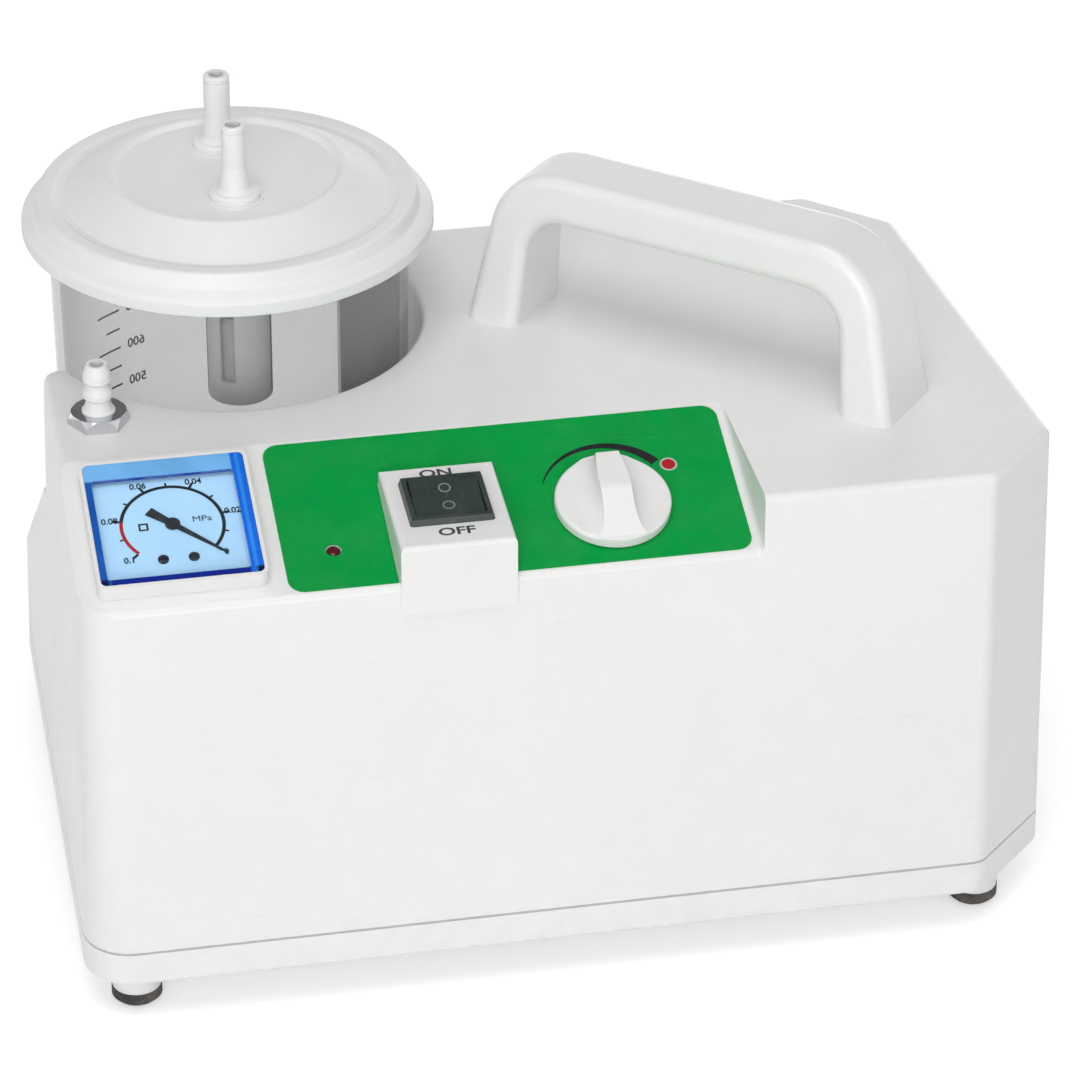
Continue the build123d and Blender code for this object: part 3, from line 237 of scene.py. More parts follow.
colourDrift = buildColourDrift(driftLook)
mouldedSkin = buildMouldedSkin()
hairScratches = buildHairScratches(scratchLook)
benchDust = buildBenchDust(dustLook)
toolMarks = buildToolMarks(toolMarkLook)
print("node groups built")


def startMaterial(name):
    material = bpy.data.materials.new(name)
    material.use_nodes = True
    tree = material.node_tree
    place = put(tree, "TexCoord").outputs["Object"]
    return material, tree, tree.nodes["Principled BSDF"], place


def setPlain(shader, values):
    for label, value in values.items():
        shader.inputs[label].default_value = value


# what scratches and dust do to a surface: how much rougher they make it, and how deep a scratch cuts
wear = {"scuffRough": 0.12, "dustRough": 0.5, "scuffDepth": -0.25}


# moulded plastic, rubber, paint: colour clouds, skin, scratches and dust with their own values
def mouldedMaterial(name, look):
    material, tree, shader, place = startMaterial(name)
    drift = useGroup(tree, colourDrift, Vector=place, Base=look["base"], Drift=look["drift"],
                     Size=look.get("driftSize", 14.0), Amount=look.get("driftAmount", 0.6))
    scuff = useGroup(tree, hairScratches, Vector=place, Size=look.get("scuffSize", 60.0),
                     Share=look.get("scuffShare", 0.4))
    dust = useGroup(tree, benchDust, Vector=place, Top=look.get("dustTop", 0.05),
                    Amount=look.get("dustAmount", 0.25))
    scuffed = calc(tree, "MULTIPLY", scuff["Mask"], look.get("scuffShow", 0.15))
    worn = blendColours(tree, scuffed, drift["Color"], look.get("scuffColour", (0.9, 0.9, 0.88, 1)))
    dusty = blendColours(tree, dust["Mask"], worn, look.get("dustColour", (0.42, 0.38, 0.33, 1)))
    tree.links.new(dusty, shader.inputs["Base Color"])
    rough = calc(tree, "MULTIPLY_ADD", drift["Cloud"], look.get("roughSpread", 0.08), look["rough"])
    rough = calc(tree, "MULTIPLY_ADD", scuff["Mask"], wear["scuffRough"], rough)
    rough = calc(tree, "MULTIPLY_ADD", dust["Mask"], wear["dustRough"], rough, clamp=True)
    tree.links.new(rough, shader.inputs["Roughness"])
    skin = useGroup(tree, mouldedSkin, Vector=place, Grain=look.get("grain", 1800.0),
                    GrainDepth=look.get("grainDepth", 0.35), Wave=look.get("wave", 45.0),
                    WaveDepth=look.get("waveDepth", 0.8))
    height = calc(tree, "MULTIPLY_ADD", scuff["Mask"], wear["scuffDepth"], skin["Height"])
    bump = put(tree, "Bump", {"Height": height, "Strength": look.get("bump", 0.12), "Distance": 0.0004})
    tree.links.new(bump.outputs[0], shader.inputs["Normal"])
    setPlain(shader, look.get("plain", {}))
    return material


# bare or plated metal: tool marks along one way, tarnish clouds, worn spots
def metalMaterial(name, look):
    material, tree, shader, place = startMaterial(name)
    drift = useGroup(tree, colourDrift, Vector=place, Base=look["base"], Drift=look["drift"],
                     Size=look.get("driftSize", 90.0), Amount=look.get("driftAmount", 0.7))
    marks = useGroup(tree, toolMarks, Vector=place, Size=look.get("markSize", 900.0),
                     Stretch=look.get("stretch", (1.0, 1.0, 0.05)))
    dust = useGroup(tree, benchDust, Vector=place, Top=0.05, Amount=look.get("dustAmount", 0.1))
    lined = blendColours(tree, calc(tree, "MULTIPLY", marks["Line"], look.get("markShow", 0.3)),
                         drift["Color"], look.get("markColour", look["drift"]))
    dusty = blendColours(tree, dust["Mask"], lined, look.get("dustColour", (0.25, 0.23, 0.2, 1)))
    tree.links.new(dusty, shader.inputs["Base Color"])
    rough = calc(tree, "MULTIPLY_ADD", marks["Line"], look.get("roughSpread", 0.15), look["rough"])
    rough = calc(tree, "MULTIPLY_ADD", dust["Mask"], wear["dustRough"], rough, clamp=True)
    tree.links.new(rough, shader.inputs["Roughness"])
    bump = put(tree, "Bump", {
        "Height": marks["Height"], "Strength": look.get("bump", 0.15), "Distance": 0.0002})
    tree.links.new(bump.outputs[0], shader.inputs["Normal"])
    setPlain(shader, {"Metallic": 1.0})
    return material


# clear plastic: tint clouds, faint flow lines and handling marks, plain transmission
clearSurface = {"roughSpread": 0.03, "scuffRough": 0.15, "facingBlend": 0.5}


def clearMaterial(name, look):
    material, tree, shader, place = startMaterial(name)
    drift = useGroup(tree, colourDrift, Vector=place, Base=look["base"], Drift=look["drift"], Size=20.0,
                     Amount=0.7)
    tree.links.new(drift["Color"], shader.inputs["Base Color"])
    scuff = useGroup(tree, hairScratches, Vector=place, Size=70.0, Share=look["scuffShare"])
    rough = calc(tree, "MULTIPLY_ADD", drift["Cloud"], clearSurface["roughSpread"], look["rough"])
    rough = calc(tree, "MULTIPLY_ADD", scuff["Mask"], clearSurface["scuffRough"], rough, clamp=True)
    tree.links.new(rough, shader.inputs["Roughness"])
    skin = useGroup(tree, mouldedSkin, Vector=place, Grain=700.0, GrainDepth=0.08, Wave=35.0, WaveDepth=1.0)
    bump = put(tree, "Bump", {"Height": skin["Height"], "Strength": look["bump"], "Distance": 0.0006})
    tree.links.new(bump.outputs[0], shader.inputs["Normal"])
    # the wall covers more where it is seen edge on; shadow rays pass, so that what stands behind is lit
    facing = put(tree, "LayerWeight", {"Blend": clearSurface["facingBlend"]}).outputs["Facing"]
    edge = calc(tree, "POWER", facing, look["edgePower"])
    cover = calc(tree, "MULTIPLY_ADD", edge, look["edgeCover"] - look["cover"], look["cover"])
    shadow = calc(tree, "MULTIPLY", put(tree, "LightPath").outputs["Is Shadow Ray"], look["lightPasses"])
    tree.links.new(calc(tree, "SUBTRACT", cover, shadow, clamp=True), shader.inputs["Alpha"])
    setPlain(shader, {"Transmission Weight": look["through"], "IOR": look["ior"], "Metallic": 0.0})
    return material


# repeated layers across one axis: core laminations, coil tape turns
layerSurface = {"gapEnd": 0.35, "gapShare": 0.75, "gapRough": 0.25, "roughSpread": 0.1}


def layeredMaterial(name, look):
    material, tree, shader, place = startMaterial(name)
    bands = put(tree, "TexWave", {
        "Vector": place, "Scale": look["layers"], "Distortion": look["wander"], "Detail": 2.0,
        "Detail Scale": 3.0}, bands_direction=look["across"])
    drift = useGroup(tree, colourDrift, Vector=place, Base=look["base"], Drift=look["drift"], Size=60.0,
                     Amount=0.7)
    edge = rangeTo(tree, bands.outputs["Fac"], 0.0, layerSurface["gapEnd"], layerSurface["gapShare"], 0.0)
    tree.links.new(blendColours(tree, edge, drift["Color"], look["gap"]), shader.inputs["Base Color"])
    rough = calc(tree, "MULTIPLY_ADD", edge, layerSurface["gapRough"], look["rough"])
    rough = calc(tree, "MULTIPLY_ADD", drift["Cloud"], layerSurface["roughSpread"], rough, clamp=True)
    tree.links.new(rough, shader.inputs["Roughness"])
    bump = put(tree, "Bump", {"Height": bands.outputs["Fac"], "Strength": 0.4, "Distance": 0.0004})
    tree.links.new(bump.outputs[0], shader.inputs["Normal"])
    setPlain(shader, {"Metallic": look.get("metallic", 0.0)})
    return material


# the instrument's finishes, one entry for each of the record's material slots
mouldedLooks = {
    "white_abs": {
        "base": (0.83, 0.83, 0.826, 1), "drift": (0.8, 0.798, 0.788, 1), "rough": 0.3, "roughSpread": 0.1,
        "grain": 1500.0, "grainDepth": 0.3, "wave": 30.0, "waveDepth": 1.0, "bump": 0.10, "dustTop": 0.04,
        "dustAmount": 0.16, "scuffShow": 0.10, "scuffColour": (0.62, 0.61, 0.59, 1),
        "plain": {"IOR": 1.52, "Coat Weight": 0.12, "Coat Roughness": 0.12, "Subsurface Weight": 0.04,
                  "Subsurface Scale": 0.002}},
    "white_pp": {
        "base": (0.83, 0.83, 0.828, 1), "drift": (0.78, 0.78, 0.775, 1), "rough": 0.42, "roughSpread": 0.12,
        "grain": 2200.0, "grainDepth": 0.5, "wave": 50.0, "waveDepth": 0.8, "bump": 0.12, "dustAmount": 0.05,
        "scuffShow": 0.08, "scuffColour": (0.66, 0.66, 0.64, 1),
        "plain": {"IOR": 1.49, "Subsurface Weight": 0.12, "Subsurface Scale": 0.003}},
    "black_rubber": {
        "base": (0.022, 0.022, 0.023, 1), "drift": (0.05, 0.048, 0.045, 1), "rough": 0.62, "roughSpread": 0.2,
        "grain": 2600.0, "grainDepth": 1.0, "bump": 0.3, "dustTop": 0.01, "dustAmount": 0.6,
        "driftSize": 60.0, "scuffShow": 0.3, "scuffColour": (0.16, 0.15, 0.14, 1), "plain": {"IOR": 1.45}},
    "black_metal": {
        "base": (0.012, 0.012, 0.014, 1), "drift": (0.04, 0.04, 0.045, 1), "rough": 0.36, "driftSize": 240.0,
        "grain": 4000.0, "grainDepth": 0.8, "bump": 0.15, "dustAmount": 0.04, "scuffSize": 240.0,
        "plain": {"IOR": 1.5}},
    "dark_green_plastic": {
        "base": (0.022, 0.036, 0.032, 1), "drift": (0.045, 0.062, 0.056, 1), "rough": 0.22, "driftSize": 90.0,
        "roughSpread": 0.14, "grain": 2400.0, "grainDepth": 0.4, "bump": 0.12, "dustAmount": 0.06,
        "dustColour": (0.08, 0.09, 0.085, 1), "scuffSize": 90.0, "scuffShow": 0.02,
        "plain": {"IOR": 1.5, "Coat Weight": 0.1, "Coat Roughness": 0.2}},
    "black_plastic": {
        "base": (0.024, 0.025, 0.026, 1), "drift": (0.05, 0.051, 0.05, 1), "rough": 0.42, "driftSize": 60.0,
        "roughSpread": 0.15, "grain": 2200.0, "grainDepth": 0.7, "bump": 0.2, "dustAmount": 0.25,
        "dustColour": (0.18, 0.17, 0.15, 1), "scuffShow": 0.12, "scuffColour": (0.2, 0.2, 0.2, 1),
        "plain": {"IOR": 1.5}},
    "green_label": {
        "base": (0.0, 0.335, 0.058, 1), "drift": (0.0, 0.275, 0.048, 1), "rough": 0.48, "driftSize": 18.0,
        "driftAmount": 0.55, "grain": 2600.0, "grainDepth": 0.8, "wave": 90.0, "waveDepth": 0.3, "bump": 0.1,
        "dustAmount": 0.08, "dustTop": 0.2, "scuffSize": 80.0, "scuffShow": 0.1,
        "scuffColour": (0.1, 0.4, 0.16, 1), "plain": {"IOR": 1.45, "Specular IOR Level": 0.08}},
    "pale_dial": {
        "base": (0.44, 0.67, 0.87, 1), "drift": (0.52, 0.74, 0.92, 1), "rough": 0.5, "driftSize": 30.0,
        "grain": 5000.0, "grainDepth": 0.6, "bump": 0.06, "dustAmount": 0.02, "scuffShow": 0.03},
    "red_lens": {
        "base": (0.03, 0.003, 0.004, 1), "drift": (0.2, 0.01, 0.012, 1), "rough": 0.1, "driftSize": 500.0,
        "grain": 3000.0, "bump": 0.08, "dustAmount": 0.02,
        "plain": {"IOR": 1.5, "Coat Weight": 0.6, "Coat Roughness": 0.05, "Subsurface Weight": 0.1,
                  "Subsurface Scale": 0.001}},
    "silicone": {
        "base": (0.62, 0.62, 0.6, 1), "drift": (0.52, 0.52, 0.49, 1), "rough": 0.5, "grain": 2500.0,
        "grainDepth": 0.6, "bump": 0.15,
        "plain": {"IOR": 1.41, "Subsurface Weight": 0.2, "Subsurface Scale": 0.002}},
    "clear_hose": {
        "base": (0.63, 0.6, 0.5, 1), "drift": (0.5, 0.46, 0.36, 1), "rough": 0.28, "roughSpread": 0.15,
        "driftSize": 50.0, "grain": 1800.0, "bump": 0.12,
        "plain": {"IOR": 1.45, "Subsurface Weight": 0.35, "Subsurface Scale": 0.004}},
    "float_plastic": {
        "base": (0.66, 0.66, 0.65, 1), "drift": (0.55, 0.55, 0.54, 1), "rough": 0.35, "driftSize": 80.0,
        "grain": 2000.0, "bump": 0.12,
        "plain": {"IOR": 1.49, "Subsurface Weight": 0.1, "Subsurface Scale": 0.002}},
}
metalLooks = {
    "steel": {"base": (0.52, 0.52, 0.53, 1), "drift": (0.4, 0.39, 0.38, 1), "rough": 0.28, "markSize": 1400.0,
              "stretch": (0.06, 1.0, 1.0), "markShow": 0.35},
    "brass": {"base": (0.66, 0.47, 0.19, 1), "drift": (0.45, 0.29, 0.11, 1), "rough": 0.25,
              "markSize": 1600.0, "stretch": (1.0, 1.0, 0.08), "markShow": 0.3},
    "chrome": {"base": (0.66, 0.67, 0.69, 1), "drift": (0.55, 0.56, 0.58, 1), "rough": 0.07,
               "roughSpread": 0.08, "markSize": 2400.0, "markShow": 0.12, "bump": 0.05},
    "cast_aluminium": {"base": (0.5, 0.51, 0.52, 1), "drift": (0.37, 0.37, 0.38, 1), "rough": 0.45,
                       "markSize": 700.0, "stretch": (1.0, 1.0, 1.0), "bump": 0.5, "dustAmount": 0.3},
    "spring_steel": {"base": (0.42, 0.42, 0.43, 1), "drift": (0.3, 0.27, 0.22, 1), "rough": 0.25,
                     "markSize": 2600.0, "stretch": (1.0, 0.2, 1.0)},
}
layeredLooks = {
    "lamination": {"base": (0.16, 0.16, 0.17, 1), "drift": (0.24, 0.22, 0.2, 1), "gap": (0.03, 0.03, 0.03, 1),
                   "layers": 300.0, "wander": 0.4, "across": "X", "rough": 0.4, "metallic": 0.6},
    "coil_tape": {"base": (0.62, 0.4, 0.07, 1), "drift": (0.5, 0.3, 0.05, 1), "gap": (0.2, 0.11, 0.02, 1),
                  "layers": 110.0, "wander": 1.2, "across": "Y", "rough": 0.35},
}
clearLooks = {
    "clear_jar": {"base": (0.2, 0.203, 0.207, 1), "drift": (0.24, 0.243, 0.247, 1), "rough": 0.04,
                  "through": 0.0, "ior": 1.49, "bump": 0.05, "scuffShare": 0.2, "cover": 0.18,
                  "edgeCover": 0.6, "edgePower": 3.0, "lightPasses": 0.5},
    "clear_window": {"base": (0.9, 0.96, 1.0, 1), "drift": (0.84, 0.93, 1.0, 1), "rough": 0.02,
                     "through": 1.0, "ior": 1.12, "bump": 0.003, "scuffShare": 0.1, "cover": 1.0,
                     "edgeCover": 1.0, "edgePower": 1.0, "lightPasses": 0.9},
}
finishes = {}
for looks, builder in ((mouldedLooks, mouldedMaterial), (metalLooks, metalMaterial),
                       (layeredLooks, layeredMaterial), (clearLooks, clearMaterial)):
    for slotName, slotLook in looks.items():
        finishes[slotName] = builder(slotName + "Finish", slotLook)

# places of the sloping faces, each with its origin in metres and its tilt about X in degrees; the needle's,
# the knob's and the rocker's joints lie on theirs
jointSpots = {joint["name"]: joint.get("pos_m") for joint in frame["record"]["behaviour"]["joints"]}
panelTilt = 17.502
platformTilt = 5.692
rockerTilt = 7.0
gaugePlace = (jointSpots["needle_turn"], panelTilt)
knobPlace = (jointSpots["regulator_turn"], panelTilt)
platformPlace = ((-0.0344, -0.059, 0.148524), platformTilt)
rockerPlace = (jointSpots["rocker_pivot"], platformTilt + rockerTilt)

# blue frame of the gauge: tinted clear plastic with painted light and shade, its four bars painted in lit and
# shaded tones, with a painted highlight streak and painted shade in the lower corners and on the deep walls;
# spots in millimetres from the needle's axis, and a tone fades out between two of them
gaugeFrameLook = {
    "topBar": (0.2, 0.52, 0.96, 1), "sideBar": (0.006, 0.16, 0.84, 1), "lowBar": (0.004, 0.022, 0.3, 1),
    "thinBar": (0.008, 0.11, 0.5, 1), "wall": (0.003, 0.03, 0.26, 1), "paintedHighlight": (0.05, 0.34, 0.95, 1),
    "corner": (0.002, 0.006, 0.06, 1), "topEdges": (15.6, 16.4), "sideEdges": (18.2, 18.8),
    "leftEdges": (-19.6, -19.1), "wallShadeEdges": (4.3, 4.9), "highlightSpot": 20.2, "highlightEdges": (0.1, 0.8),
    "highlightShare": 0.75, "cornerShadeEdges": (19.6, 20.6), "cloudEdges": (0.4, 0.7), "cloudShare": 0.6,
    "rough": 0.08, "scuffRough": 0.2}


def gaugeFrameMaterial(look):
    material, tree, shader, place = startMaterial("blueFrameFinish")
    origin, tilt = gaugePlace
    moved = put(tree, "VectorMath", {0: place, 1: origin}, operation="SUBTRACT")
    turned = put(tree, "VectorRotate", {"Vector": moved.outputs[0], "Angle": math.radians(-tilt)},
                 rotation_type="X_AXIS")
    local = put(tree, "SeparateXYZ", {"Vector": turned.outputs[0]})
    across, upward = local.outputs["X"], local.outputs["Y"]

    def fadeBetween(value, edges, start, end):
        return rangeTo(tree, value, edges[0] * mm, edges[1] * mm, start, end)

    # painted light and shade: the top bar gets a lit tone, the lower and left bars shaded tones of the same
    # blue
    top = fadeBetween(upward, look["topEdges"], 0.0, 1.0)
    right = fadeBetween(across, look["sideEdges"], 0.0, 1.0)
    left = fadeBetween(across, look["leftEdges"], 1.0, 0.0)
    tone = blendColours(tree, left, look["lowBar"], look["thinBar"])
    tone = blendColours(tree, top, tone, look["topBar"])
    tone = blendColours(tree, right, tone, look["sideBar"])
    # a painted highlight streak down the right bar, painted shade in the two lower corners
    offHighlight = calc(tree, "ABSOLUTE", calc(tree, "SUBTRACT", across, look["highlightSpot"] * mm))
    tone = blendColours(tree, fadeBetween(offHighlight, look["highlightEdges"], look["highlightShare"], 0.0), tone,
                        look["paintedHighlight"])
    # painted shade: near-black spots in the two lower corners of the frame
    sideways = calc(tree, "ABSOLUTE", across)
    downward = calc(tree, "MULTIPLY", upward, -1.0)
    paintedCornerShade = calc(tree, "MULTIPLY", fadeBetween(sideways, look["cornerShadeEdges"], 0.0, 1.0),
                    fadeBetween(downward, look["cornerShadeEdges"], 0.0, 1.0))
    tone = blendColours(tree, paintedCornerShade, tone, look["corner"])
    clouds = put(tree, "TexNoise", {"Vector": place, "Scale": 55.0, "Detail": 2.0})
    cloudy = rangeTo(tree, clouds.outputs[0], *look["cloudEdges"], 0.0, look["cloudShare"])
    darker = put(tree, "HueSaturation", {"Color": tone, "Value": 0.7, "Saturation": 1.05})
    tone = blendColours(tree, cloudy, tone, darker.outputs[0])
    # painted shade: below the frame's front face its walls turn dark navy
    paintedWallShade = fadeBetween(local.outputs["Z"], look["wallShadeEdges"], 1.0, 0.0)
    tone = blendColours(tree, paintedWallShade, tone, look["wall"])
    tree.links.new(tone, shader.inputs["Base Color"])
    scuff = useGroup(tree, hairScratches, Vector=place, Size=120.0, Share=0.4)
    rough = calc(tree, "MULTIPLY_ADD", scuff["Mask"], look["scuffRough"], look["rough"])
    tree.links.new(rough, shader.inputs["Roughness"])
    skin = useGroup(tree, mouldedSkin, Vector=place, Grain=900.0, GrainDepth=0.1, Wave=160.0, WaveDepth=1.0)
    bump = put(tree, "Bump", {"Height": skin["Height"], "Strength": 0.12, "Distance": 0.0005})
    tree.links.new(bump.outputs[0], shader.inputs["Normal"])
    setPlain(shader, {"IOR": 1.5, "Coat Weight": 0.3, "Coat Roughness": 0.04})
    return material


finishes["blue_plastic"] = gaugeFrameMaterial(gaugeFrameLook)


def dress(node, finish):
    for slot in nodes[node].material_slots:
        slot.material = finishes[finish]


for subpart in frame["record"]["subparts"]:
    dress(subpart["node"], subpart["material_slot"])
# the bezel is moulded in the rocker's colour
dress("switch_body", "dark_green_plastic")
print("finishes given to", len(nodes), "nodes")


# printed ink: slightly uneven cover, matt against the sheet it lies on
inkSurface = {"rough": 0.45, "roughSpread": 0.15}


def inkMaterial(name, colour, worn):
    material, tree, shader, place = startMaterial(name)
    drift = useGroup(tree, colourDrift, Vector=place, Base=colour, Drift=worn, Size=220.0, Amount=0.55)
    tree.links.new(drift["Color"], shader.inputs["Base Color"])
    rough = calc(tree, "MULTIPLY_ADD", drift["Cloud"], inkSurface["roughSpread"], inkSurface["rough"])
    tree.links.new(rough, shader.inputs["Roughness"])
    skin = useGroup(tree, mouldedSkin, Vector=place, Grain=4200.0, GrainDepth=1.0, Wave=600.0, WaveDepth=0.4)
    bump = put(tree, "Bump", {"Height": skin["Height"], "Strength": 0.15, "Distance": 0.0001})
    tree.links.new(bump.outputs[0], shader.inputs["Normal"])
    setPlain(shader, {"Specular IOR Level": 0.25})
    return material


inkLooks = {
    "blackInk": ((0.008, 0.009, 0.012, 1), (0.03, 0.032, 0.04, 1)),
    "redInk": ((0.42, 0.006, 0.008, 1), (0.5, 0.02, 0.02, 1)),
    "greyInk": ((0.045, 0.05, 0.052, 1), (0.1, 0.105, 0.105, 1)),
    "paleInk": ((0.5, 0.52, 0.5, 1), (0.36, 0.38, 0.37, 1)),
    "ringInk": ((0.24, 0.29, 0.27, 1), (0.15, 0.19, 0.18, 1)),
    # the jar's print colour, also used for the painted shade strips down the cage tube's sides
    "jarInkAndCageShade": ((0.03, 0.032, 0.036, 1), (0.09, 0.095, 0.1, 1))}
inks = {name: inkMaterial(name, *colours) for name, colours in inkLooks.items()}


# local millimetres (across, up the slope, above it) to metres in the frame: turned about X, then moved
def onSlope(local, place):
    origin, tilt = place
    c, s = math.cos(math.radians(tilt)), math.sin(math.radians(tilt))
    local = np.asarray(local, float) * mm
    out = np.empty_like(local)
    out[..., 0] = local[..., 0]
    out[..., 1] = local[..., 1] * c - local[..., 2] * s
    out[..., 2] = local[..., 1] * s + local[..., 2] * c
    return out + np.asarray(origin)


# thickness of a print in millimetres: on a film or a moulding, and on the clear walls; also of the painted
# shade strips on the cage tube
filmInk = 0.04
wallInk = 0.05


# points[i, j] of a surface over two parameters, joined into four-sided faces; more such sheets may be stacked
# along a first axis of their own
def sheetMesh(name, points, ink, body, thickness=filmInk):
    points = np.asarray(points, float)
    if points.ndim == 3:
        points = points[None]
    sheets, rows, columns = points.shape[:3]
    index = np.arange(sheets * rows * columns).reshape(sheets, rows, columns)
    corners = [index[:, :-1, :-1], index[:, 1:, :-1], index[:, 1:, 1:], index[:, :-1, 1:]]
    faces = np.stack(corners, -1).reshape(-1, 4)
    finishPrint(name, points.reshape(-1, 3), faces.tolist(), ink, body, thickness)


def finishPrint(name, vertices, faces, ink, body, thickness=filmInk):
    mesh = bpy.data.meshes.new(name)
    mesh.from_pydata(vertices.tolist(), [], faces)
    mesh.validate()
    mesh.materials.append(inks[ink])
    piece = bpy.data.objects.new(name, mesh)
    bpy.context.scene.collection.objects.link(piece)
    skin = piece.modifiers.new("inkThickness", "SOLIDIFY")
    skin.thickness = thickness * mm
    skin.offset = 1.0
    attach(piece, body)


# band between two radii over an angle: point = centre + r (cos a, sin a), r running from inner(a) to outer(a)
def arcBand(centre, inner, outer, startAngle, endAngle, height, steps=64):
    t = np.linspace(0.0, 1.0, steps)[None, :]
    s = np.linspace(0.0, 1.0, 3)[:, None]
    angle = np.radians(startAngle + (endAngle - startAngle) * t)
    innerR = inner(t) if callable(inner) else inner
    outerR = outer(t) if callable(outer) else outer
    radius = innerR + (outerR - innerR) * s
    x = centre[0] + radius * np.cos(angle)
    y = centre[1] + radius * np.sin(angle)
    return np.stack([x, y, np.full_like(x, height)], -1)


# short strokes along rays from a centre: one four-cornered sheet for each angle
def rayStrokes(angles, inner, outer, width, height):
    angle = np.radians(np.asarray(angles, float))[:, None, None]
    along = np.array([inner, outer])[None, :, None]
    aside = np.array([-width / 2, width / 2])[None, None, :]
    x = along * np.cos(angle) - aside * np.sin(angle)
    y = along * np.sin(angle) + aside * np.cos(angle)
    return np.stack([x, y, np.full_like(x, height)], -1)


# flat letters as mesh corners and faces in local millimetres, each word centred on its own spot
def wordMesh(words, height, weight=0.0):
    corners, faces, count = [], [], 0
    for text, size, across, up, stretch in words:
        curve = bpy.data.curves.new("word", "FONT")
        curve.body, curve.size, curve.offset = text, size, weight
        curve.align_x, curve.align_y = "CENTER", "CENTER"
        curve.resolution_u = 4
        holder = bpy.data.objects.new("word", curve)
        flat = bpy.data.meshes.new_from_object(holder)
        co = np.empty(len(flat.vertices) * 3)
        flat.vertices.foreach_get("co", co)
        co = co.reshape(-1, 3) * (stretch, 1.0, 1.0) + (across, up, height)
        corners.append(co)
        faces += [[count + v for v in polygon.vertices] for polygon in flat.polygons]
        count += len(co)
        bpy.data.objects.remove(holder)
        bpy.data.curves.remove(curve)
        bpy.data.meshes.remove(flat)
    return np.concatenate(corners), faces


# dial print: 0 at the lower right, 0.1 at the lower left, 264 degrees round; the numbers stand on an oval,
# so that they keep clear of the square frame
dialLook = {
    "face": 2.27, "zero": -42.0, "sweep": 264.0, "numbers": ("0", "0.02", "0.04", "0.06", "0.08", "0.1"),
    "arc": (13.5, 14.5), "redShare": 0.2, "blackSteps": 96, "redSteps": 32, "longTick": (14.4, 16.4, 0.75),
    "shortTick": (14.4, 15.5, 0.6), "wordRadius": 18.3, "endRadius": 18.9, "wordOval": (0.94, 0.92),
    "wordSize": 2.9, "wordStretch": 0.92, "wordWeight": 0.07, "unitSpot": (8.2, 1.2), "unitStretch": 1.1,
    "markHalf": 1.35, "markHole": 0.8, "markAcross": -8.0}


def makeDialPrint(look):
    zero, sweep, face, numbers = look["zero"], look["sweep"], look["face"], look["numbers"]
    parts = len(numbers) - 1
    redStart = zero + sweep * (1 - look["redShare"])
    black = arcBand((0, 0), *look["arc"], zero, redStart, face, look["blackSteps"])
    red = arcBand((0, 0), *look["arc"], redStart, zero + sweep, face, look["redSteps"])
    sheetMesh("dialArcBlack", onSlope(black[:, ::-1], gaugePlace), "blackInk", "housing_body")
    sheetMesh("dialArcRed", onSlope(red[:, ::-1], gaugePlace), "redInk", "housing_body")
    longAngles = zero + sweep * np.linspace(0, 1, parts + 1)
    shortAngles = zero + sweep * (np.arange(parts) + 0.5) / parts
    strokes = np.concatenate([
        rayStrokes(longAngles, *look["longTick"], face), rayStrokes(shortAngles, *look["shortTick"], face)])
    sheetMesh("dialTicks", onSlope(strokes[:, :, ::-1], gaugePlace), "blackInk", "housing_body")
    words = []
    for value, angle in zip(numbers, np.radians(longAngles)):
        radius = look["endRadius"] if value in (numbers[0], numbers[-1]) else look["wordRadius"]
        across = radius * math.cos(angle) * look["wordOval"][0]
        up = radius * math.sin(angle) * look["wordOval"][1]
        words.append((value, look["wordSize"], across, up, look["wordStretch"]))
    corners, faces = wordMesh(words, face, look["wordWeight"])
    finishPrint("dialNumbers", onSlope(corners, gaugePlace), faces, "blackInk", "housing_body")
    corners, faces = wordMesh([("MPa", look["wordSize"], *look["unitSpot"], look["unitStretch"])], face)
    finishPrint("dialUnit", onSlope(corners, gaugePlace), faces, "blackInk", "housing_body")
    # four broad strokes, one for each side, make the small open square
    square = rayStrokes((0, 90, 180, 270), look["markHole"], look["markHalf"], 2 * look["markHalf"], face)
    square[..., 0] += look["markAcross"]
    sheetMesh("dialSquareMark", onSlope(square[:, :, ::-1], gaugePlace), "blackInk", "housing_body")


makeDialPrint(dialLook)

# label print: an arc round the knob that grows thicker clockwise, and a red dot in a pale ring where it ends
labelLook = {
    "face": 0.43, "centre": (0.5, 3.9), "outer": 19.4, "start": 160.0, "end": 36.0, "thin": 0.35,
    "thick": 3.0, "dot": (18.5, 13.2), "dotCore": 0.02, "dotRadius": 1.9, "ringWidth": 0.55, "dotSteps": 48}


def makeLabelPrint(look):
    def innerEdge(t):
        return look["outer"] - look["thin"] - (look["thick"] - look["thin"]) * t

    def roundBand(inner, outer):
        return arcBand(look["dot"], inner, outer, 360.0, 0.0, look["face"], look["dotSteps"])

    arc = arcBand(look["centre"], innerEdge, look["outer"], look["start"], look["end"], look["face"])
    dot = roundBand(look["dotCore"], look["dotRadius"])
    ring = roundBand(look["dotRadius"], look["dotRadius"] + look["ringWidth"])
    sheetMesh("strengthArc", onSlope(arc, knobPlace), "blackInk", "housing_body")
    sheetMesh("fullDot", onSlope(dot, knobPlace), "redInk", "housing_body")
    sheetMesh("fullDotRing", onSlope(ring, knobPlace), "paleInk", "housing_body")


makeLabelPrint(labelLook)

# switch print: ON behind, OFF in front, and two pale rings on the rocker's two slopes
switchLook = {
    "words": (("ON", -0.6, -4.1), ("OFF", 0.4, -31.6)), "wordSize": 4.7, "wordStretch": 1.25,
    "wordWeight": 0.1, "wordLift": 0.03, "ringOuter": 1.75, "ringInner": 1.35, "ringSpot": 3.5,
    "ringSteps": 40, "ringLift": 0.02, "rockerValley": 1.8625, "rockerRise": 0.5, "rockerReach": 8.113}


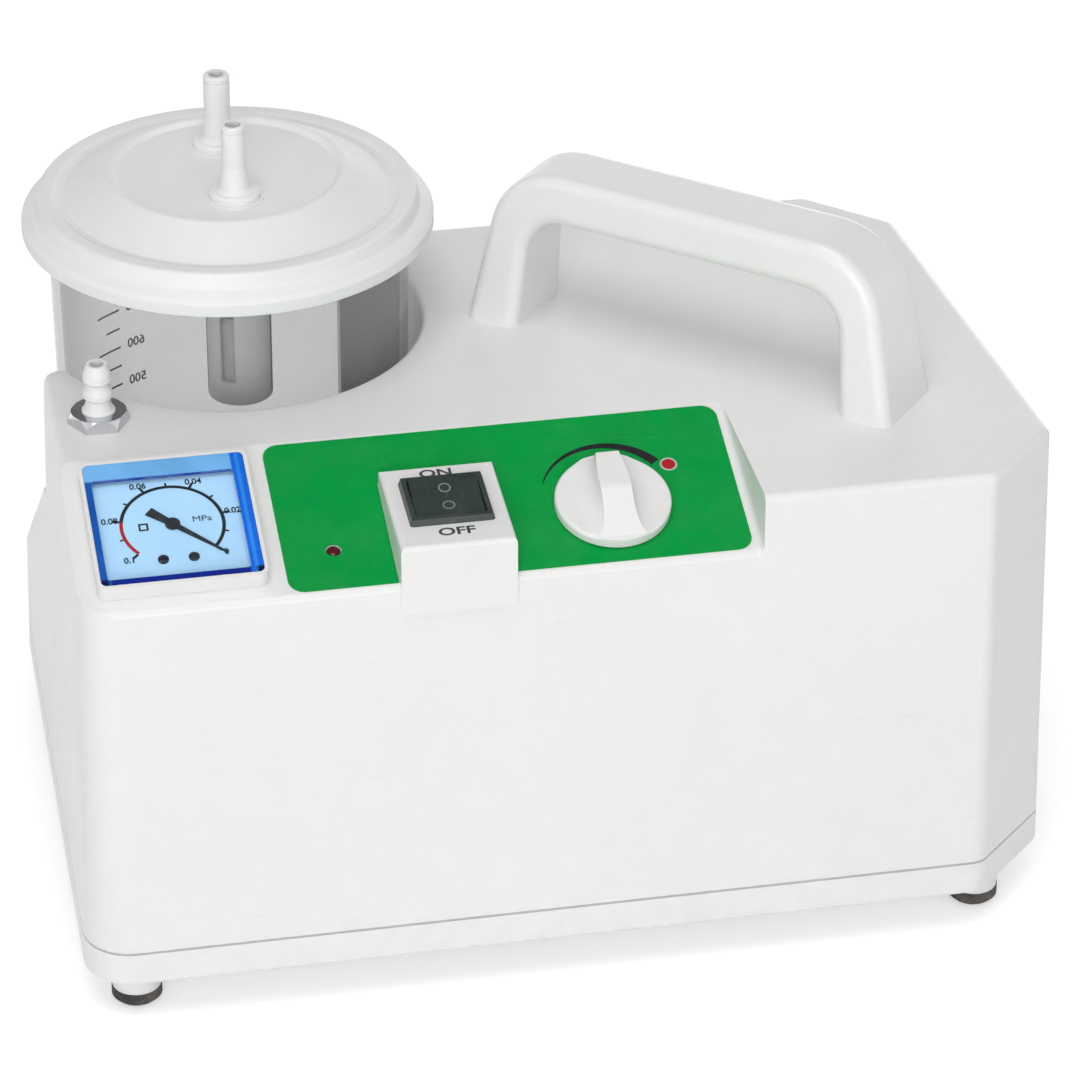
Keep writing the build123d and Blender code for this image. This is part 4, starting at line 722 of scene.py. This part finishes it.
def makeSwitchPrint(look):
    words = [(text, look["wordSize"], across, up, look["wordStretch"]) for text, across, up in look["words"]]
    corners, faces = wordMesh(words, look["wordLift"], look["wordWeight"])
    finishPrint("switchWords", onSlope(corners, platformPlace), faces, "greyInk", "housing_body")
    slope = look["rockerRise"] / look["rockerReach"]
    rings = []
    for side in (1, -1):
        ring = arcBand((0, side * look["ringSpot"]), look["ringInner"], look["ringOuter"], 360.0, 0.0, 0.0,
                       look["ringSteps"])
        ring[..., 2] = look["rockerValley"] + slope * np.abs(ring[..., 1]) + look["ringLift"]
        rings.append(ring)
    sheetMesh("rockerRings", onSlope(np.stack(rings), rockerPlace), "ringInk", "rocker_body")


makeSwitchPrint(switchLook)

# jar print: a line for each 50 ml and round numbers on the drafted wall, r growing evenly with height
jarCentre = (-77.7, 35.0)
jarLook = {
    "footZ": 34.3, "footRadius": 50.0, "topRadius": 51.8, "taperHeight": 149.0, "lift": 0.03, "angle": 123.5,
    "lineSpan": 10.0, "shortSpan": 6.0, "lineWidth": 0.6, "lineSteps": 12, "lowest": 52.0, "step": 6.2,
    "count": 20, "volume": 50, "wordSize": 4.2, "wordAngle": 117.0, "wordWeight": 0.08}


def onJarWall(angle, z, look):
    taper = (look["topRadius"] - look["footRadius"]) / look["taperHeight"]
    radius = look["footRadius"] + (z - look["footZ"]) * taper + look["lift"]
    x = jarCentre[0] + radius * np.cos(np.radians(angle))
    y = jarCentre[1] + radius * np.sin(np.radians(angle))
    return np.stack([x, y, z + 0 * x], -1) * mm


def makeJarPrint(look):
    t = np.linspace(0.0, 1.0, look["lineSteps"])[None, None, :]
    s = np.array([-0.5, 0.5])[None, :, None]
    order = np.arange(look["count"])[:, None, None]
    middle = look["lowest"] + look["step"] * order
    span = np.where(order % 2, look["lineSpan"], look["shortSpan"])
    angle = look["angle"] + span * t + 0 * s
    lines = onJarWall(angle, middle + look["lineWidth"] * s + 0 * t, look)
    sheetMesh("jarLines", lines, "jarInkAndCageShade", "jar_body", wallInk)
    # every second line has a number, flat at first and then bent round the wall
    words = []
    for k in range(1, look["count"], 2):
        text = str(look["volume"] * (k + 1))
        words.append((text, look["wordSize"], 0.0, look["lowest"] + look["step"] * k, 1.0))
    corners, faces = wordMesh(words, 0.0, look["wordWeight"])
    wallAngle = look["wordAngle"] + np.degrees(corners[:, 0] / look["topRadius"])
    wall = onJarWall(wallAngle, corners[:, 1], look)
    finishPrint("jarNumbers", wall, faces, "jarInkAndCageShade", "jar_body", wallInk)


makeJarPrint(jarLook)

# painted shade down the cage tube: dark strips at fixed angles on its cylinder, near its two sides where the
# clear tube looks dark, x = r cos a, y = r sin a
cageEdgeShadeLook = {"forward": 16.8, "radius": 9.33, "angles": (-179.0, -23.0, 1.0, 157.0), "width": 5.0,
            "widthSteps": 5, "low": 135.5, "high": 190.0, "heightSteps": 6}


def makeCageEdgeShade(look):
    aside = look["width"] * np.linspace(-0.5, 0.5, look["widthSteps"])[None, None, :]
    angle = np.radians(np.array(look["angles"])[:, None, None] + aside)
    z = np.linspace(look["low"], look["high"], look["heightSteps"])[None, :, None]
    x = jarCentre[0] + look["radius"] * np.cos(angle) + 0 * z
    y = jarCentre[1] - look["forward"] + look["radius"] * np.sin(angle) + 0 * z
    strips = np.stack([x, y, z + 0 * angle], -1) * mm
    sheetMesh("cageEdgeShade", strips[:, :, ::-1], "jarInkAndCageShade", "lid_body", wallInk)


makeCageEdgeShade(cageEdgeShadeLook)
print("prints made on dial, label, switch and jar")

makeCamera(cameraLook)
for lampName in ("frontLamp", "topLamp", "backLamp"):
    softLamp(lampName, studioLook[lampName], studioLook["lampTarget"])


# rays that see the backdrop as plain white: the camera's own, mirrored and refracted ones
def seenPlainly(tree, rays):
    seen = calc(tree, "MAXIMUM", rays["Is Camera Ray"], rays["Is Glossy Ray"])
    return calc(tree, "MAXIMUM", seen, rays["Is Transmission Ray"])


def makeStudio(look):
    world = bpy.data.worlds.new("studioWorld")
    bpy.context.scene.world = world
    world.use_nodes = True
    tree = world.node_tree
    sky = tree.nodes["Background"]
    sky.inputs["Color"].default_value = (1, 1, 1, 1)
    rays = put(tree, "LightPath").outputs
    plain = put(tree, "Mix", {
        0: seenPlainly(tree, rays), 2: look["worldStrength"], 3: look["backdropStrength"]},
        data_type="FLOAT")
    # the room's ceiling is darker than its white backdrop, and gloss mirrors that
    upward = put(tree, "SeparateXYZ", {"Vector": put(tree, "TexCoord").outputs["Generated"]}).outputs["Z"]
    room = rangeTo(tree, upward, look["ceilingStart"], look["ceilingFull"],
                   look["backdropStrength"], look["ceilingStrength"])
    strength = put(tree, "Mix", {0: rays["Is Glossy Ray"], 2: plain.outputs[0], 3: room}, data_type="FLOAT")
    tree.links.new(strength.outputs[0], sky.inputs["Strength"])
    half = look["floorSize"] / 2
    corner = np.array([[-half, -half, 0], [half, -half, 0], [half, half, 0], [-half, half, 0]])
    mesh = bpy.data.meshes.new("studioFloor")
    mesh.from_pydata(corner.tolist(), [], [(0, 1, 2, 3)])
    material, tree, shader, place = startMaterial("paleFloor")
    setPlain(shader, {"Roughness": 0.9, "Specular IOR Level": 0.0, "Emission Color": (1, 1, 1, 1)})
    faint = put(tree, "TexNoise", {"Vector": place, "Scale": 3.0, "Detail": 2.0})
    tone = blendColours(tree, faint.outputs[0], look["floorColour"], look["floorDrift"])
    tree.links.new(tone, shader.inputs["Base Color"])
    # further out than the object's shadow the floor runs into the white backdrop
    away = put(tree, "VectorMath", {0: place}, operation="LENGTH").outputs["Value"]
    fade = rangeTo(tree, away, *look["fadeFrom"], look["floorGlow"], 1.0)
    glow = calc(tree, "MULTIPLY", seenPlainly(tree, put(tree, "LightPath").outputs), fade)
    tree.links.new(glow, shader.inputs["Emission Strength"])
    mesh.materials.append(material)
    floor = bpy.data.objects.new("studioFloor", mesh)
    bpy.context.scene.collection.objects.link(floor)


makeStudio(studioLook)
bpy.context.scene.view_settings.view_transform = "Standard"
print("studio, lamps and camera set")
